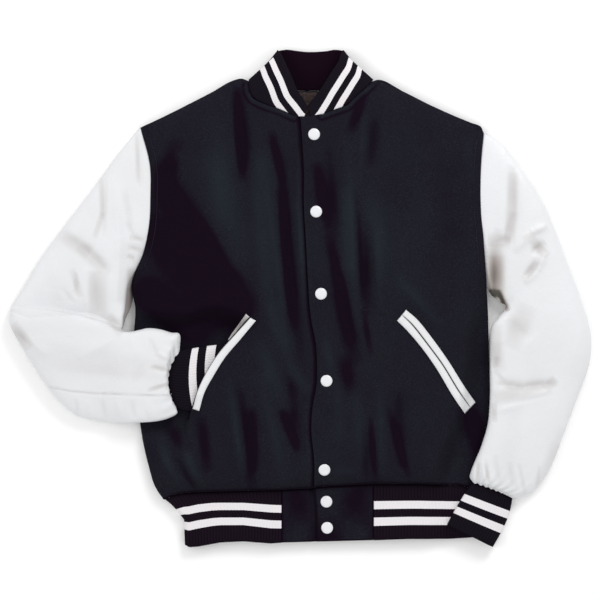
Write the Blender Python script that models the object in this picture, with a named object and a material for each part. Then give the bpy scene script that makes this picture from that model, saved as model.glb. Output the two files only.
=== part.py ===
"""A varsity jacket laid flat on its back, built as the pieces that a maker cuts and sews.

Wool front and back panels, leather sleeves, rib-knit collar, cuffs and hem, leather pocket
welts, snaps, waistband tabs and the bit of neck lining that shows.  Every piece is a closed
cloth wall of its own, a seam's gap away from the next one.  Tables are in millimetres:
X to the wearer's left, Y to the collar, Z up, with the back panel's underside at Z = 0.
"""

import math

import bpy
import numpy as np
from mathutils import Vector
from mathutils.bvhtree import BVHTree

for old in list(bpy.data.objects):
    bpy.data.objects.remove(old, do_unlink=True)

# ---------------------------------------------------------------- driving sizes, millimetres

METRES = 0.001
SEAM = 0.4                # gap that two sewn pieces keep
WOOL = 2.2                # thickness of the wool panels
TAB = 3.0                 # doubled wool of the waistband tabs
LEATHER = 1.6             # thickness of the sleeves
WELT = 2.0                # folded leather strip of a pocket
KNIT = 2.6                # doubled rib knit of collar, cuffs and hem
LINING = 1.0
NECK_EASE = 0.4           # extra gap where the neck seam is curved
HEM_EASE = 1.0            # extra gap at the hem's back seam, where the two lines differ
CROWN = 33.0              # height of the body's top over the surface it lies on
SIDE_ROLL = 80.0          # how far in from a side seam the cloth reaches its full height
SHOULDER_ROLL = 60.0
HEM_ROLL = 45.0
HEM_SEAM_HEIGHT = 17.0    # height of the fronts where the hem band is sewn on
HEM_TOP = 15.0            # height of the hem band
SLEEVE_EDGE = 0.4         # share of a sleeve's height at which its two edges lie
RIB_PITCH = 4.5
RIB_RELIEF = 0.55
COLLAR_FLAT = 7.0         # the collar's ribs stop where it lies lower than this
LAP = 32.0                # how far the under front runs below the upper one
LAP_STEP = 3.8            # how far it dips there
TAB_STEP = 0.8            # gap between the two tabs where they lap
TIP_HEIGHT = 8.0          # height of the seams at the shoulder's tip
UNDERARM_HEIGHT = 9.0     # and at the underarm
CURL = 1.4                # rows over which the back panel's edge curls up to them
LINING_LOW = 246.0        # y where the visible lining ends below the collar
LINING_TUCK = 2.0
SPLIT_SHARES = (0.0, 0.05, 0.17, 0.31, 0.45, 0.59, 0.73, 0.87, 1.0)  # columns of a front's side half
BACK_SHARES_LEFT = (0.0, 0.05, 0.09, 0.34, 0.67, 1.0)
BACK_SHARES_RIGHT = (0.0, 0.044, 0.151, 0.4, 0.7, 1.0)
HEM_PRESS = 4.0           # how far the cuff presses the hem band's right end down
HEM_PRESS_X = 165.0       # from here on, over a width of
HEM_PRESS_WIDTH = 28.0
SNAP_RADIUS = 8.5
SHARP = 60.0              # degrees over which an edge is shaded as an edge
SNAP_HEIGHT = 2.6
PLACKET = (3.0, 12.0, 22.0, LAP)     # columns of both fronts behind the visible edge

# Rows run down a panel: 0 at shoulder and neck, 9 at the underarm, 21 at the hem seam.
ROWS = np.array([0.0, 0.35] + [float(row) for row in range(1, 22)])
UNDERARM = 9.0
LAST_ROW = 21.0

# ---------------------------------------------------------------- outline tables

# Armhole and side seam of each half; z is the height of the seam.
LEFT_EDGE = [
    # row,   x,    y,   z
    (0.0, -249, 249, 8),
    (1.8, -236, 203, 18),
    (4.0, -234, 152, 24),
    (5.7, -236, 109, 23),
    (7.4, -245, 67, 17),
    (9.0, -262, 25, 9),
    (10.6, -257, -14, 8),
    (12.0, -259, -50, 8),
    (15.0, -255, -128, 8),
    (17.0, -250, -180, 8),
    (19.3, -238, -240, 8),
    (20.3, -228, -272, 9),
    (21.0, -216, -290, 10),
]
RIGHT_EDGE = [
    # row,   x,   y,   z
    (0.0, 250, 243, 8),
    (1.4, 246, 210, 17),
    (3.2, 244, 167, 24),
    (5.0, 245, 123, 24),
    (6.3, 248, 94, 22),
    (7.7, 251, 56, 18),
    (9.0, 254, 18, 9),
    (10.2, 256, -14, 8),
    (12.0, 257, -58, 8),
    (13.7, 258, -102, 8),
    (15.5, 258, -149, 8),
    (17.0, 255, -188, 8),
    (18.5, 251, -225, 8),
    (20.0, 245, -258, 8),
    (21.0, 238, -281, 8),
]
# Lines down the middle of each front, from the neck's side point to the hem.
# The left one runs along the open pocket between rows 11 and 16.
LEFT_GUIDE = [
    # row,   x,    y
    (0.0, -91, 318),
    (1.0, -102, 292),
    (3.0, -98, 235),
    (6.0, -88, 130),
    (9.0, -86, 35),
    (11.0, -90, -25),
    (12.0, -113, -51),
    (13.0, -135, -76),
    (14.0, -153, -104),
    (15.0, -166, -131),
    (16.0, -180, -176),
    (18.0, -174, -216),
    (21.0, -150, -276),
]
RIGHT_GUIDE = [
    # row,  x,   y
    (0.0, 88, 318),
    (3.0, 90, 236),
    (7.0, 92, 128),
    (12.0, 95, -30),
    (17.0, 100, -160),
    (21.0, 105, -267),
]
POCKET_ROWS = (11.0, 16.0)
POCKET_GAP = 0.7
# The edge of the upper front, down the middle of the jacket.
FRONT_EDGE = [
    # row,    x,    y
    (0.0, -17, 265),
    (1.6, -14, 224),
    (3.0, -12, 188),
    (4.8, -12, 142),
    (7.0, -9, 86),
    (9.2, -6, 29),
    (11.3, -2, -24),
    (13.1, 6, -70),
    (13.9, 7, -90),
    (15.3, 6, -126),
    (16.3, 1, -152),
    (17.8, -1, -190),
    (19.4, 3, -231),
    (21.0, 3, -273),
]
LEFT_SHOULDER = [
    # share of the seam, x, y
    (0.00, -249, 249),
    (0.25, -213, 268),
    (0.47, -177, 286),
    (0.68, -144, 303),
    (0.86, -115, 319),
    (0.93, -103, 322),
    (1.00, -91, 318),
]
RIGHT_SHOULDER = [
    # share of the seam, x, y
    (0.00, 250, 243),
    (0.05, 245.5, 252.3),
    (0.12, 233, 257.4),
    (0.27, 209, 267),
    (0.50, 171, 284),
    (0.73, 133, 303),
    (0.96, 94, 320),
    (1.00, 88, 318),
]
LEFT_NECK = [
    # share of the seam, x, y
    (0.00, -91, 318),
    (0.12, -91.5, 306),
    (0.30, -86, 293),
    (0.55, -67, 283),
    (0.80, -46, 276),
    (1.00, -27, 267),
]
RIGHT_NECK = [
    # share of the seam, x, y
    (0.00, 88, 318),
    (0.14, 82, 311),
    (0.30, 72, 302),
    (0.45, 60, 291),
    (0.60, 50, 282),
    (0.75, 36, 277),
    (1.00, 15, 269),
]
BACK_NECK = [
    # share of the seam, x, y
    (0.00, -91, 318),
    (0.15, -68, 310),
    (0.32, -39, 305),
    (0.50, -6, 304),
    (0.68, 28, 305),
    (0.85, 57, 310),
    (1.00, 88, 318),
]
# Where the panels' columns meet the neck seam, as shares of it.
LEFT_NECK_SHARES = np.linspace(0, 1, 9)
RIGHT_NECK_SHARES = np.linspace(0, 1, 7)
BACK_NECK_SHARES = np.linspace(0, 1, 9)
# The seam between body and hem band.
HEM_SEAM = [
    # x,    y
    (-216, -290),
    (-212.7, -290),
    (-204.8, -285.4),
    (-195.5, -282.6),
    (-186.3, -280.9),
    (-177, -279.9),
    (-167.8, -279.3),
    (-44, -276),
    (0, -274),
    (10, -271.5),
    (90, -267.5),
    (157, -267.5),
    (215.4, -269.5),
    (231.4, -274),
    (238, -281),
]
# The top line that the cloth falls to: shoulders, and the open neck between them.
TOP_LINE = [
    # x,    y,   z
    (-249, 249, 8),
    (-213, 268, 8.9),
    (-177, 286, 9.8),
    (-144, 303, 10.7),
    (-115, 319, 11.4),
    (-103, 322, 11.7),
    (-91, 318, 12),
    (-80, 322, 22),
    (-60, 330, 26),
    (60, 330, 26),
    (78, 322, 22),
    (88, 318, 12),
    (94, 320, 11.8),
    (133, 303, 10.9),
    (171, 284, 9.9),
    (209, 267, 9),
    (249, 246, 8),
]

# ---------------------------------------------------------------- folds

# Soft folds of the body: a ridge has a height above nought, a trough one below it.
BODY_FOLDS = [
    # from x,  y,  to x,   y, height, half width
    (-107, 310, -91, 155, -6, 11),
    (-138, 265, -130, 95, 4, 18),
    (-74, 225, -28, -118, 5, 11),
    (-46, 225, -16, -98, -5, 9),
    (-107, -118, -86, -280, -6, 10),
    (-121, -110, -101, -260, 4, 9),
    (-77, -100, -36, -275, 5, 12),
    (-34, -95, -20, -215, -4, 10),
    (-184, -220, -160, -272, 4, 9),
    (-197, -230, -170, -278, -4, 8),
    (23, 225, 37, 75, -4, 10),
    (51, 240, 64, -45, 5, 11),
    (92, 270, 84, 190, -5, 10),
    (77, 115, 80, -30, -4, 9),
    (94, 108, 100, -25, 4, 9),
    (36, 15, 65, -100, -6, 14),
    (120, 35, 190, -42, 4, 10),
    (97, -115, 103, -262, 4, 9),
    (124, -130, 129, -245, -4, 10),
    (36, -105, 41, -215, 3, 12),
]
# Where another layer lies on the body and presses it down: round patches with soft rims.
LEFT_PRESSED = [
    # x,    y, radius, height
    (-255, -108, 70, 9),
    (-215, -108, 66, 9),
    (-182, -112, 60, 9),
    (-140, -86, 52, 9),
]
RIGHT_PRESSED = [
    # x,   y, radius, height
    (280, -60, 32, 10),
    (280, -110, 34, 10),
    (272, -160, 34, 10),
    (258, -205, 36, 10),
    (245, -245, 40, 10),
]
PRESS_RIM = 30.0
REST = 11.8                # height at which a sleeve lies on the pressed body
REST_LEDGE = 8.0           # how far outside the body it still lies at that height
REST_START = 30.0          # over this length below the underarm it comes to lie on the body
REST_RAMP = 45.0           # width of the slope down to the surface beyond
# The cloth sinks at the pocket's lower end.
POCKET_END_DIP = [(-186, -140, -176, -210, -15, 20)]

# Sleeve rings: A on the outer edge and B on the inner edge, seen from above; bow is how far
# the ring's middle lies ahead of the straight line, lift how far it hangs over what it lies
# on, height is the sleeve's thickness there.
LEFT_RINGS = [
    # ax,   ay,   bx,   by,  bow, lift, height
    (-281, 213, -269, 15, -14, 0, 27),
    (-319, 161, -270, 5, -6, 0, 30),
    (-358, 110, -271, -5, 0, 0, 31),
    (-392, 64, -272, -15, -2, 0, 30),
    (-416, 23, -274, -25, -8, 0, 27),
    (-435, -6, -275, -38, -13, 0, 22),
    (-438, -15, -276, -43, -14, 0, 33),
    (-438, -38, -271, -46, -10, 0, 35),
    (-420, -72, -265, -46, -5, 0, 35),
    (-399, -106, -258, -45, 0, 0, 34),
    (-373, -142, -249, -43, 0, 0, 33),
    (-342, -168, -240, -41, 0, 0, 31),
    (-300, -177, -230, -41, 0, 0, 29),
    (-257, -178, -218, -43, 0, 0, 27),
    (-220, -175, -205, -47, -3, 0, 26),
    (-197, -166, -192, -50, -11, 0, 21),
    (-197, -157, -192, -73, -10, 2.4, 9),
]
RIGHT_RINGS = [
    # ax,   ay,  bx,   by,  bow, lift, height
    (284, 219, 262, 6, -9, 0, 27),
    (312, 180, 269, 0, -3, 0, 31),
    (334, 145, 274, -4, 0, 0, 32),
    (352, 104, 279, -6, 0, 0, 32),
    (368, 62, 282, -9, 0, 0, 32),
    (384, 19, 280, -14, 0, 0, 33),
    (397, -17, 275, -20, 0, 0, 34),
    (405, -50, 268, -28, 0, 0, 34),
    (405, -80, 259.5, -41, 0, 0, 33),
    (400, -104, 258, -70, 0, 0, 31),
    (390, -130, 258, -105, 0, 0, 29),
    (378, -162, 258, -142, 0, 0, 30),
    (365, -197, 255, -178, 0, 0, 30),
    (352, -232, 246, -210, 0, 0, 29),
    (338, -258, 237, -232, 0, 0, 27),
    (318, -280, 231, -247, 0, 0, 25),
    (302, -287, 229, -257, -2, 0, 20),
    (292, -288, 233, -264, -2, 2.4, 9),
]
# Folds of the sleeves' upper side.
SLEEVE_FOLDS = [
    # from x,  y,  to x,   y, height, half width
    (-250, 245, -252, 205, -3, 8),
    (-297, 182, -301, 95, -4, 9),
    (-356, 96, -288, 36, 4, 12),
    (-268, 112, -266, 30, -4, 9),
    (-330, 28, -282, 5, -4, 14),
    (-432, -28, -350, -30, -4, 12),
    (-330, -60, -250, -75, 4, 16),
    (-365, -128, -215, -136, -3, 8),
    (-236, -90, -210, -118, -3, 9),
    (290, 190, 282, 85, -5, 11),
    (284, 95, 262, 68, -4, 10),
    (341, 110, 288, 64, 5, 10),
    (332, 80, 316, 62, -6, 12),
    (336, 66, 312, 20, 4, 9),
    (312, 40, 272, -2, 4, 10),
    (262, -122, 352, -124, -6, 11),
    (270, -152, 350, -138, 4, 12),
    (270, -60, 330, -20, -4, 14),
    (276, -230, 262, -250, -3, 9),
]

# Cuff rings: columns as for the sleeve.
LEFT_CUFF = [
    # ax,   ay,   bx,   by, bow, lift, height
    (-197, -157, -192, -73, -10, 2.4, 8),
    (-175, -161, -171, -70, -8, 1.8, 8),
    (-141, -148, -141, -65, -7, 1.8, 8),
    (-112, -138, -110, -63, -4, 1.8, 8),
]
RIGHT_CUFF = [
    # ax,   ay,  bx,   by, bow, lift, height
    (292, -288, 233, -264, -2, 2.4, 8.5),
    (288, -308, 221, -282, 0, 1.0, 9.5),
    (279, -331, 209, -302, 0, 0.6, 9.5),
    (263, -359, 196, -326, 0, 0.6, 9.5),
]

# Collar sections from the left front round the back to the right front: the band's free
# edge, and how far along the neck seam, and how high, it is sewn on.
COLLAR = [
    # edge x, y, z,  along, z
    (-8, 278, 31, 0, 29),
    (-13, 288, 32, 20, 29),
    (-23, 304, 33, 56, 28),
    (-32, 326, 33, 79, 26),
    (-39, 341, 31, 97, 24),
    (-46, 357, 25, 107, 19),
    (-46, 363, 16, 116, 9),
    (-38, 364, 9, 131, 3.2),
    (-25, 363, 7, 161, 3.0),
    (-6, 361, 6.5, 194, 3.0),
    (19, 362, 7, 228, 3.0),
    (34, 364, 9, 257, 3.2),
    (42, 363, 16, 279, 9),
    (43, 357, 25, 289, 19),
    (40, 346, 31, 298, 24),
    (32, 333, 33, 311, 26),
    (20, 314, 33, 331, 28),
    (10, 299, 32, 355, 29),
    (1, 287, 31, 375, 29),
    (-4, 280, 31, 397, 30),
]
# Where the neck seam ends at the middle of each front.
NECK_ENDS = ((-11, 265.8), (-3, 266.9))

# Hem band: where its two sides fold, from the seam (0) to the free edge (1).
HEM_FOLD = [
    # share of the height, left x, right x
    (0.00, -209.6, 237.5),
    (0.28, -198.5, 238),
    (0.52, -186, 237),
    (0.64, -186, 236),
    (1.00, -185, 234),
]
HEM_EDGE = [
    # x,    y
    (-186, -355),
    (-178, -359),
    (-165, -358),
    (-133, -352),
    (-45, -353),
    (87, -349),
    (200, -347),
    (234, -345),
]
HEM_ROWS = (0.0, 0.28, 0.64, 1.0)
LEFT_TAB_END = -44.0
RIGHT_TAB_END = 89.6
TAB_EDGE = [
    # y,    x of the upper tab's edge
    (-353, 7.4),
    (-304, 6.0),
    (-273, 3.0),
]

# Pocket welts: the two long edges of each strip.
LEFT_FRONT_WELT = [
    # x1,   y1,   x2,   y2
    (-89.2, -25.6, -81, -30),
    (-112.6, -51.3, -103.5, -57),
    (-134.6, -76.3, -125.5, -83),
    (-152.6, -104.2, -142.5, -110),
    (-165.5, -131.2, -155.5, -134),
    (-173.4, -158, -163.5, -161),
]
LEFT_BACK_WELT = [
    # x1,   y1,   x2,   y2
    (-90.6, -24.5, -95.7, -20),
    (-102.1, -37.5, -105.9, -34.2),
    (-113.6, -50.5, -116.2, -48.2),
    (-121, -58.9, -122.2, -57.9),
]
RIGHT_UPPER_WELT = [
    # x1,   y1,   x2,   y2
    (130.5, -21, 136, -14),
    (147, -37, 154, -30),
    (168, -64, 176, -58),
    (190, -94, 198, -89),
    (212, -130, 220, -124),
    (231, -156, 238, -149),
]
RIGHT_LOWER_WELT = [
    # x1,   y1,   x2,   y2
    (129.8, -21.7, 123, -30),
    (146, -38, 139, -46),
    (167, -65, 160, -71),
    (189, -95, 181, -101),
    (211, -131, 203, -138),
    (230, -157, 222, -165),
]

SNAPS = [
    # name,   x,    y
    ("snap_1", 3, 240),
    ("snap_2", 6, 128),
    ("snap_3", 13, 9),
    ("snap_4", 21, -117),
    ("snap_5", 18, -246),
    ("snap_6", 21, -293),
    ("snap_7", 22, -331),
]

WOOL_BLACK = ("wool", (0.011, 0.010, 0.015), 0.9)
LEATHER_WHITE = ("leather", (0.80, 0.80, 0.81), 0.45)
KNIT_BLACK = ("knit", (0.012, 0.008, 0.013), 0.85)
LINING_BROWN = ("lining", (0.034, 0.021, 0.021), 0.5)
SNAP_WHITE = ("snap", (0.84, 0.83, 0.86), 0.3)


# ---------------------------------------------------------------- reading the tables

def read_curve(table, at):
    """The later columns of a table at values of its first one, along a smooth curve."""
    rows = np.array(table, float)
    key, value = rows[:, 0], rows[:, 1:]
    at = np.clip(np.atleast_1d(np.asarray(at, float)), key[0], key[-1])
    slope = np.gradient(value, key, axis=0)
    low = np.clip(np.searchsorted(key, at, side="right") - 1, 0, len(key) - 2)
    span = key[low + 1] - key[low]
    t = ((at - key[low]) / span)[:, None]
    span = span[:, None]
    return (value[low] * (1 + 2 * t) * (1 - t) ** 2
            + slope[low] * span * t * (1 - t) ** 2
            + value[low + 1] * t ** 2 * (3 - 2 * t)
            + slope[low + 1] * span * t ** 2 * (t - 1))


def read_line(table, at, column=1):
    """One column of a table at values of its first one, along straight lines."""
    rows = np.array(table, float)
    rows = rows[np.argsort(rows[:, 0])]
    return np.interp(at, rows[:, 0], rows[:, column])


def dense_edge(table):
    """A side edge as closely spaced points from the hem up: y, x and z."""
    points = read_curve(table, np.linspace(0.0, LAST_ROW, 240))[::-1]
    return points[:, 1], points[:, 0], points[:, 2]


LEFT_SIDE = dense_edge(LEFT_EDGE)
RIGHT_SIDE = dense_edge(RIGHT_EDGE)


def fold_relief(x, y, folds):
    """Height that the folds add: a soft bell across each line, fading towards its ends."""
    total = np.zeros_like(x)
    for x0, y0, x1, y1, height, width in folds:
        length = math.hypot(x1 - x0, y1 - y0)
        along = ((x - x0) * (x1 - x0) + (y - y0) * (y1 - y0)) / length ** 2
        across = ((x - x0) * (y1 - y0) - (y - y0) * (x1 - x0)) / length
        taper = np.sin(math.pi * np.clip(along, 0.0, 1.0)) ** 0.7
        total += height * taper * np.exp(-(across / width) ** 2)
    return total


def fall(distance, roll):
    """Share of the height lost at a distance from an edge that rolls over like a circle."""
    t = np.clip(distance / roll, 0.0, 1.0)
    return 1.0 - np.sqrt(1.0 - (1.0 - t) ** 2)


def pressed(x, y, height, patches):
    """The height once other layers have pressed the cloth down in round patches."""
    for px, py, radius, low in patches:
        weight = np.clip((radius + PRESS_RIM - np.hypot(x - px, y - py)) / PRESS_RIM, 0.0, 1.0)
        weight = weight * weight * (3 - 2 * weight)
        height = height - weight * np.maximum(height - low, 0.0)
    return height


def body_height(x, y, patches=RIGHT_PRESSED, extra_folds=()):
    """Height of the body's top surface over the point x, y."""
    x, y = np.asarray(x, float), np.asarray(y, float)
    left_x, left_z = np.interp(y, LEFT_SIDE[0], LEFT_SIDE[1]), np.interp(y, LEFT_SIDE[0], LEFT_SIDE[2])
    right_x, right_z = np.interp(y, RIGHT_SIDE[0], RIGHT_SIDE[1]), np.interp(y, RIGHT_SIDE[0], RIGHT_SIDE[2])
    side_z = np.where(x < 0, left_z, right_z)
    side = fall(np.where(x < 0, x - left_x, right_x - x), SIDE_ROLL)
    top = fall(read_line(TOP_LINE, x) - y, SHOULDER_ROLL)
    hem = fall(y - read_line(HEM_SEAM, x), HEM_ROLL)
    inner = CROWN - (CROWN - HEM_SEAM_HEIGHT) * hem
    inner = inner - (inner - read_line(TOP_LINE, x, 2)) * top
    inner = inner + fold_relief(x, y, list(BODY_FOLDS) + list(extra_folds)) * (1 - top)
    height = inner - (inner - side_z) * side
    return pressed(x, y, height, patches)


def hem_height(x):
    """Height of the hem band's top surface; the right cuff lies on its right end."""
    right_end = np.clip((np.asarray(x, float) - HEM_PRESS_X) / HEM_PRESS_WIDTH, 0.0, 1.0)
    return HEM_TOP - HEM_PRESS * right_end * right_end * (3 - 2 * right_end)


def resting_height(x, y):
    """Height at which a sleeve or cuff lies: on the surface, or ramped up onto the body."""
    left_x, right_x = np.interp(y, LEFT_SIDE[0], LEFT_SIDE[1]), np.interp(y, RIGHT_SIDE[0], RIGHT_SIDE[1])
    inside = np.where(x < 0, x - left_x, right_x - x)
    ramp = np.clip(1.0 + (inside + REST_LEDGE) / REST_RAMP, 0.0, 1.0)
    below_underarm = np.clip(-y / REST_START, 0.0, 1.0)
    rise = ramp * ramp * (3 - 2 * ramp) * below_underarm * below_underarm * (3 - 2 * below_underarm)
    return REST * rise


# ---------------------------------------------------------------- making the solids

def material(look):
    name, colour, roughness = look
    made = bpy.data.materials.get(name)
    if made is None:
        made = bpy.data.materials.new(name)
        made.use_nodes = True
        shader = made.node_tree.nodes["Principled BSDF"]
        shader.inputs["Base Color"].default_value = (*colour, 1.0)
        shader.inputs["Roughness"].default_value = roughness
        shader.inputs["Metallic"].default_value = 0.0
    return made


def add_object(name, points, faces, look):
    """One named object from points in millimetres, its faces turned outwards."""
    mesh = bpy.data.meshes.new(name)
    mesh.from_pydata([tuple(p) for p in np.asarray(points) * METRES], [], faces)
    mesh.materials.append(material(look))
    mesh.shade_smooth()
    mesh.set_sharp_from_angle(angle=math.radians(SHARP))
    made = bpy.data.objects.new(name, mesh)
    bpy.context.scene.collection.objects.link(made)
    made.parent = JACKET
    return made


def grid_faces(index, closed=False):
    """Quads over a grid of point numbers; closed joins its last column to its first."""
    index = np.asarray(index)
    if closed:
        index = np.column_stack([index, index[:, :1]])
    return [(index[i, j], index[i + 1, j], index[i + 1, j + 1], index[i, j + 1])
            for i in range(index.shape[0] - 1) for j in range(index.shape[1] - 1)]


def point_normals(points, faces):
    """Normals of the points, each the mean of those of the quads around it."""
    normals = np.zeros_like(points)
    quads = np.array(faces)
    cross = np.cross(points[quads[:, 2]] - points[quads[:, 0]], points[quads[:, 3]] - points[quads[:, 1]])
    cross /= np.maximum(np.linalg.norm(cross, axis=1), 1e-9)[:, None]
    for corner in range(4):
        np.add.at(normals, quads[:, corner], cross)
    return normals / np.maximum(np.linalg.norm(normals, axis=1), 1e-9)[:, None]


def across_seam(line):
    """Level directions across a seam line, one for each of its points."""
    run = np.gradient(np.asarray(line, float)[:, :2], axis=0)
    run /= np.maximum(np.linalg.norm(run, axis=1), 1e-9)[:, None]
    return np.column_stack([run[:, 1], -run[:, 0], np.zeros(len(run))])


def triangles(points, faces):
    """The quads cut along their shorter diagonals."""
    cut = []
    for a, b, c, d in faces:
        if np.linalg.norm(points[a] - points[c]) <= np.linalg.norm(points[b] - points[d]):
            cut += [(a, b, c), (a, c, d)]
        else:
            cut += [(a, b, d), (b, c, d)]
    return cut


def cloth_wall(name, points, faces, thickness, look, seams=(), relief=None, level=False):
    """A closed wall of cloth: outer points, the same points moved in, and rims round its edges.

    seams is a list of (point numbers, directions): there the wall is cut square, so that its
    rim lies in the seam's own plane.  relief lifts the outer points alone.  A level wall goes
    straight down from its outer points.
    """
    points = np.asarray(points, float)
    normals = point_normals(points, faces)
    inward = np.tile([0.0, 0.0, -1.0], (len(points), 1)) if level else -normals
    squares = {}
    for numbers, directions in seams:
        for number, direction in zip(numbers, directions):
            squares.setdefault(int(number), []).append(np.asarray(direction, float))
    middle = points.mean(axis=0)
    for number, directions in squares.items():
        move = inward[number].copy()
        basis = []
        for direction in directions:
            for known in basis:
                direction = direction - known * direction.dot(known)
            if np.linalg.norm(direction) > 0.2:
                basis.append(direction / np.linalg.norm(direction))
                move -= basis[-1] * move.dot(basis[-1])
        if np.linalg.norm(move) < 0.3 and len(basis) == 2:
            move = np.cross(basis[0], basis[1])
            move *= np.sign(move.dot(middle - points[number]))
        inward[number] = move / np.linalg.norm(move)
    inner = points + inward * thickness
    outer = points if relief is None else points + normals * np.asarray(relief)[:, None]
    count = len(points)
    faces = triangles(points, faces)
    sides = {}
    for face in faces:
        for a, b in zip(face, face[1:] + face[:1]):
            sides[(a, b)] = sides.get((a, b), 0) + 1
    rims = [(b, a, a + count, b + count) for a, b in sides if (b, a) not in sides]
    back = [tuple(number + count for number in reversed(face)) for face in faces]
    return add_object(name, np.vstack([outer, inner]), faces + rims + back, look)


# ---------------------------------------------------------------- the body

def guided_rows(start, end, shares, top_curve):
    """Plan grid between two lines down the panel, its top row on top_curve, its last on the hem."""
    rows = ROWS[:, None, None]
    near, far = start[:, None, :2], end[:, None, :2]
    share = np.asarray(shares, float)[None, :, None]
    grid = near * (1 - share) + far * share
    wanted = read_curve(top_curve, shares)
    fade_top = np.clip(1 - rows / 7.0, 0.0, 1.0) ** 2
    grid = grid + (wanted - grid[0])[None] * fade_top
    fade_hem = np.clip((rows - 17.0) / (LAST_ROW - 17.0), 0.0, 1.0) ** 2
    lower = read_line(HEM_SEAM, grid[-1, :, 0]) - grid[-1, :, 1]
    grid[..., 1] += lower[None, :] * fade_hem[..., 0]
    return grid


def placket_columns(offsets):
    """Columns that run beside the upper front's edge, at the given distances from it."""
    edge = read_curve(FRONT_EDGE, ROWS)
    columns = np.repeat(edge[:, None, :], len(offsets), axis=1)
    columns[..., 0] += np.asarray(offsets)[None, :]
    columns[0, :, 1] += 0.13 * np.abs(np.asarray(offsets))
    columns[-1, :, 1] = read_line(HEM_SEAM, columns[-1, :, 0])
    return columns


def front_seams(index, plan):
    """Seam directions of a front: armhole, side, shoulder, neck and hem."""
    level = across_seam(plan[:, 0])
    upright = np.array([0.0, 0.0, 1.0])
    seams = []
    for number, row in enumerate(ROWS):
        inside_armhole = 0.0 < row < UNDERARM
        seams.append(([index[number, 0]], [level[number] if inside_armhole else upright]))
    seams.append((index[-1], across_seam(plan[-1])))
    return seams


def left_front():
    """The under front: its pocket is open, and its edge dips below the upper front."""
    edge = read_curve(LEFT_EDGE, ROWS)
    guide = read_curve(LEFT_GUIDE, ROWS)
    strip = placket_columns([-10.0, -2.5] + list(PLACKET))
    side = guided_rows(edge, guide, SPLIT_SHARES, LEFT_SHOULDER)
    middle = guided_rows(guide, strip[:, 0], LEFT_NECK_SHARES, LEFT_NECK)
    middle = np.concatenate([middle, strip[:, 1:]], axis=1)
    away = across_seam(middle[:, 0])
    away *= -np.sign(away[:, :1])
    split = (ROWS > POCKET_ROWS[0]) & (ROWS < POCKET_ROWS[1])
    side[split, -1] += away[split, :2] * POCKET_GAP
    side_z = body_height(side[..., 0], side[..., 1], LEFT_PRESSED, POCKET_END_DIP)
    side_z[0] = read_line(TOP_LINE, side[0, :, 0], 2)
    side_z[:, 0] = edge[:, 2]
    middle_z = body_height(middle[..., 0], middle[..., 1], (), POCKET_END_DIP)
    middle_z[:, -5:] -= LAP_STEP
    side_index = np.arange(side_z.size).reshape(side_z.shape)
    middle_index = side_z.size + np.arange(middle_z.size).reshape(middle_z.shape)
    side_index[~split, -1] = middle_index[~split, 0]
    side_points = np.dstack([side, side_z]).reshape(-1, 3)
    middle_points = np.dstack([middle, middle_z]).reshape(-1, 3)
    points = np.vstack([side_points, middle_points])
    faces = grid_faces(side_index) + grid_faces(middle_index)
    upright = np.array([0.0, 0.0, 1.0])
    seams = front_seams(side_index, side)
    seams.append((side_index[split, -1], away[split]))
    seams.append((middle_index[split, 0], away[split]))
    seams.append((side_index[0], [upright] * side_index.shape[1]))
    seams.append((middle_index[0], across_seam(middle[0])))
    seams.append((middle_index[-1], across_seam(middle[-1])))
    points, faces, seams = drop_unused(points, faces, seams)
    return cloth_wall("front_left", points, faces, WOOL, WOOL_BLACK, seams)


def drop_unused(points, faces, seams):
    """The same wall without the points that no face uses."""
    used = sorted({number for face in faces for number in face})
    new = {old: number for number, old in enumerate(used)}
    faces = [tuple(new[number] for number in face) for face in faces]
    kept = []
    for numbers, directions in seams:
        pairs = [(new[int(n)], d) for n, d in zip(numbers, directions) if int(n) in new]
        kept.append(([n for n, d in pairs], [d for n, d in pairs]))
    return points[used], faces, kept


def right_front():
    """The upper front, whose edge shows down the middle and carries the snaps."""
    edge = read_curve(RIGHT_EDGE, ROWS)
    guide = read_curve(RIGHT_GUIDE, ROWS)
    strip = placket_columns(list(PLACKET)[::-1] + [0.0])
    side = guided_rows(edge, guide, SPLIT_SHARES, RIGHT_SHOULDER)
    middle = guided_rows(guide, strip[:, 0], RIGHT_NECK_SHARES, RIGHT_NECK)
    plan = np.concatenate([side, middle[:, 1:], strip[:, 1:]], axis=1)
    height = body_height(plan[..., 0], plan[..., 1], RIGHT_PRESSED)
    corner = len(SPLIT_SHARES)
    height[0, :corner] = read_line(TOP_LINE, plan[0, :corner, 0], 2)
    height[:, 0] = edge[:, 2]
    index = np.arange(height.size).reshape(height.shape)
    points = np.dstack([plan, height]).reshape(-1, 3)
    faces = [face[::-1] for face in grid_faces(index)]
    upright = np.array([0.0, 0.0, 1.0])
    seams = front_seams(index, plan)
    seams.append((index[0, :corner], [upright] * corner))
    seams.append((index[0, corner - 1:], across_seam(plan[0, corner - 1:])))
    return cloth_wall("front_right", points, faces, WOOL, WOOL_BLACK, seams)


def armhole_low(rows):
    """Height of the back panel along the armhole: curled up only at its two ends."""
    near_tip = np.clip(1 - rows / CURL, 0.0, 1.0)
    near_underarm = np.clip(1 - (UNDERARM - rows) / CURL, 0.0, 1.0)
    return (TIP_HEIGHT - SEAM) * near_tip ** 2 + (UNDERARM_HEIGHT - SEAM) * near_underarm ** 2


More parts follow.
